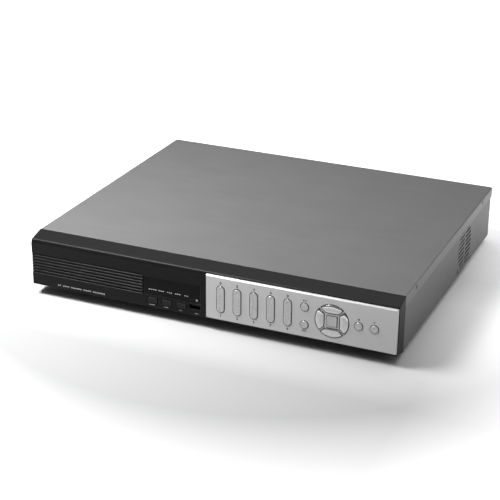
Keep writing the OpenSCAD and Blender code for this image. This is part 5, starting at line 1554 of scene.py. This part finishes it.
# Each soft light: name, place, aim, width and height, power in watts, spread of its beam.
LIGHTS = (
    ("key light", (-0.40, -0.33, 0.74), (-0.26, -0.16, 0.07), (0.40, 0.30), 6.4, 2.1),
    ("top light", (-0.1, 0.9, 2.8), (0, 0.1, 0.03), (2.6, 1.8), 46, math.pi),
    ("fill light", (0.80, -0.75, 1.10), (0.3, -0.2, 0.0), (0.6, 0.6), 1.8, 2.2),
    ("side light", (0.95, 0.70, 0.36), (0.2, 0.14, 0.03), (0.4, 0.3), 1.0, math.pi),
)


def soft_light(name, place, aim, size, power, spread):
    """A rectangular soft light that faces a point."""
    light = bpy.data.lights.new(name, "AREA")
    light.shape, light.size, light.size_y, light.energy, light.spread = "RECTANGLE", *size, power, spread
    lamp = bpy.data.objects.new(name, light)
    bpy.context.scene.collection.objects.link(lamp)
    lamp.location = place
    lamp.rotation_euler = (Vector(aim) - Vector(place)).to_track_quat("-Z", "Y").to_euler()
    lamp.visible_camera = False


class RECORDER_OT_studio(bpy.types.Operator):
    """Pale floor with painted shadow in front of the recorder and painted light further off, soft lights,
    plain surroundings and the camera
    """

    bl_idname = "recorder.studio"
    bl_label = "Studio"

    def execute(self, context):
        scene = bpy.context.scene
        floor = Skin()
        reach = FLOOR_REACH
        corners = [(-reach, -reach, 0), (reach, -reach, 0), (reach, reach, 0), (-reach, reach, 0)]
        floor.add(corners, [[0, 1, 2, 3]])
        # Painted shadow: the floor's colour is darkened close in front of the recorder. Painted light: away
        # from it, and to the right and behind, the floor glows like a lit backdrop, filling in the lights'
        # shadows.
        f = Finish("studio floor", Specular_IOR_Level=0.1, Emission_Strength=1.0)
        cloud = f.noise(400.0, 3.0)
        x, y = f.axis("X"), f.axis("Y")
        away = (x * x + y * y) ** 0.5
        near = (1 - ((away - 0.36) * 5).clamp()) * ((-0.02 - y) * 4).clamp()
        painted_light = ((away - 0.37) * 2.2).clamp() + ((x - 0.25) * 4).clamp() + ((y - 0.05) * 3).clamp()
        f.set(
            Base_Color=f.mix(near, tint("floor"), shade(tint("floor"), NEAR_SHADE)),
            Emission_Color=f.mix(painted_light.clamp(), (0.0, 0.0, 0.0, 1), (BACKDROP_PAINTED_LIGHT, BACKDROP_PAINTED_LIGHT, BACKDROP_PAINTED_LIGHT, 1)),
            Roughness=0.7 + cloud * 0.1,
        )
        plane = floor.object("studio_floor", f.material, body=None)

        world = bpy.data.worlds.new("studio air")
        world.use_nodes = True
        sky = world.node_tree.nodes["Background"]
        sky.inputs["Color"].default_value = (1.0, 1.0, 1.0, 1)
        sky.inputs["Strength"].default_value = AIR_GLOW
        scene.world = world
        for light in LIGHTS:
            soft_light(*light)

        camera = bpy.data.objects.new("camera", bpy.data.cameras.new("camera"))
        scene.collection.objects.link(camera)
        camera.data.lens, camera.data.sensor_width = CAMERA_LENS, CAMERA_SENSOR
        camera.data.clip_start, camera.data.clip_end = 0.05, 200
        a, e, r = CAMERA_TURN, CAMERA_TILT, CAMERA_ROLL
        back = Vector((math.sin(a) * math.cos(e), -math.cos(a) * math.cos(e), math.sin(e)))
        right = Vector((math.cos(a), math.sin(a), 0))
        up = back.cross(right)
        turned_right = right * math.cos(r) + up * math.sin(r)
        turned_up = up * math.cos(r) - right * math.sin(r)
        camera.matrix_world = Matrix.Translation(CAMERA_PLACE) @ Matrix(
            (turned_right, turned_up, back)
        ).transposed().to_4x4()
        scene.camera = camera
        scene.view_settings.view_transform = "Standard"
        return {"FINISHED"}


# ---- Add-on ----

PIECES = (
    RECORDER_OT_inner_parts,
    RECORDER_OT_front_bezel,
    RECORDER_OT_display_window,
    RECORDER_OT_control_panel,
    RECORDER_OT_number_keys,
    RECORDER_OT_round_buttons,
    RECORDER_OT_cursor_keys,
    RECORDER_OT_function_keys,
    RECORDER_OT_markings,
    RECORDER_OT_top_cover,
    RECORDER_OT_case,
    RECORDER_OT_video_jacks,
    RECORDER_OT_phono_jacks,
    RECORDER_OT_data_sockets,
    RECORDER_OT_fan,
    RECORDER_OT_studio,
)


class RECORDER_PT_sidebar(bpy.types.Panel):
    """Sizes, colours and one button for each group of pieces"""

    bl_label = "Video recorder"
    bl_space_type = "VIEW_3D"
    bl_region_type = "UI"
    bl_category = "Recorder"

    def draw(self, context):
        for group, kind in (("recorder_sizes", RecorderSizes), ("recorder_colours", RecorderColours)):
            column = self.layout.column(align=True)
            for key in kind.__annotations__:
                column.prop(getattr(context.scene, group), key)
        for operator in PIECES:
            self.layout.operator(operator.bl_idname)


CLASSES = (RecorderSizes, RecorderColours, *PIECES, RECORDER_PT_sidebar)


def register():
    for kind in CLASSES:
        bpy.utils.register_class(kind)
    bpy.types.Scene.recorder_sizes = bpy.props.PointerProperty(type=RecorderSizes)
    bpy.types.Scene.recorder_colours = bpy.props.PointerProperty(type=RecorderColours)


def unregister():
    del bpy.types.Scene.recorder_colours
    del bpy.types.Scene.recorder_sizes
    for kind in reversed(CLASSES):
        bpy.utils.unregister_class(kind)


def main():
    """Registers the classes and makes every group of pieces in order."""
    register()
    for operator in PIECES:
        group, name = operator.bl_idname.split(".")
        getattr(getattr(bpy.ops, group), name)()


if __name__ == "__main__":
    main()
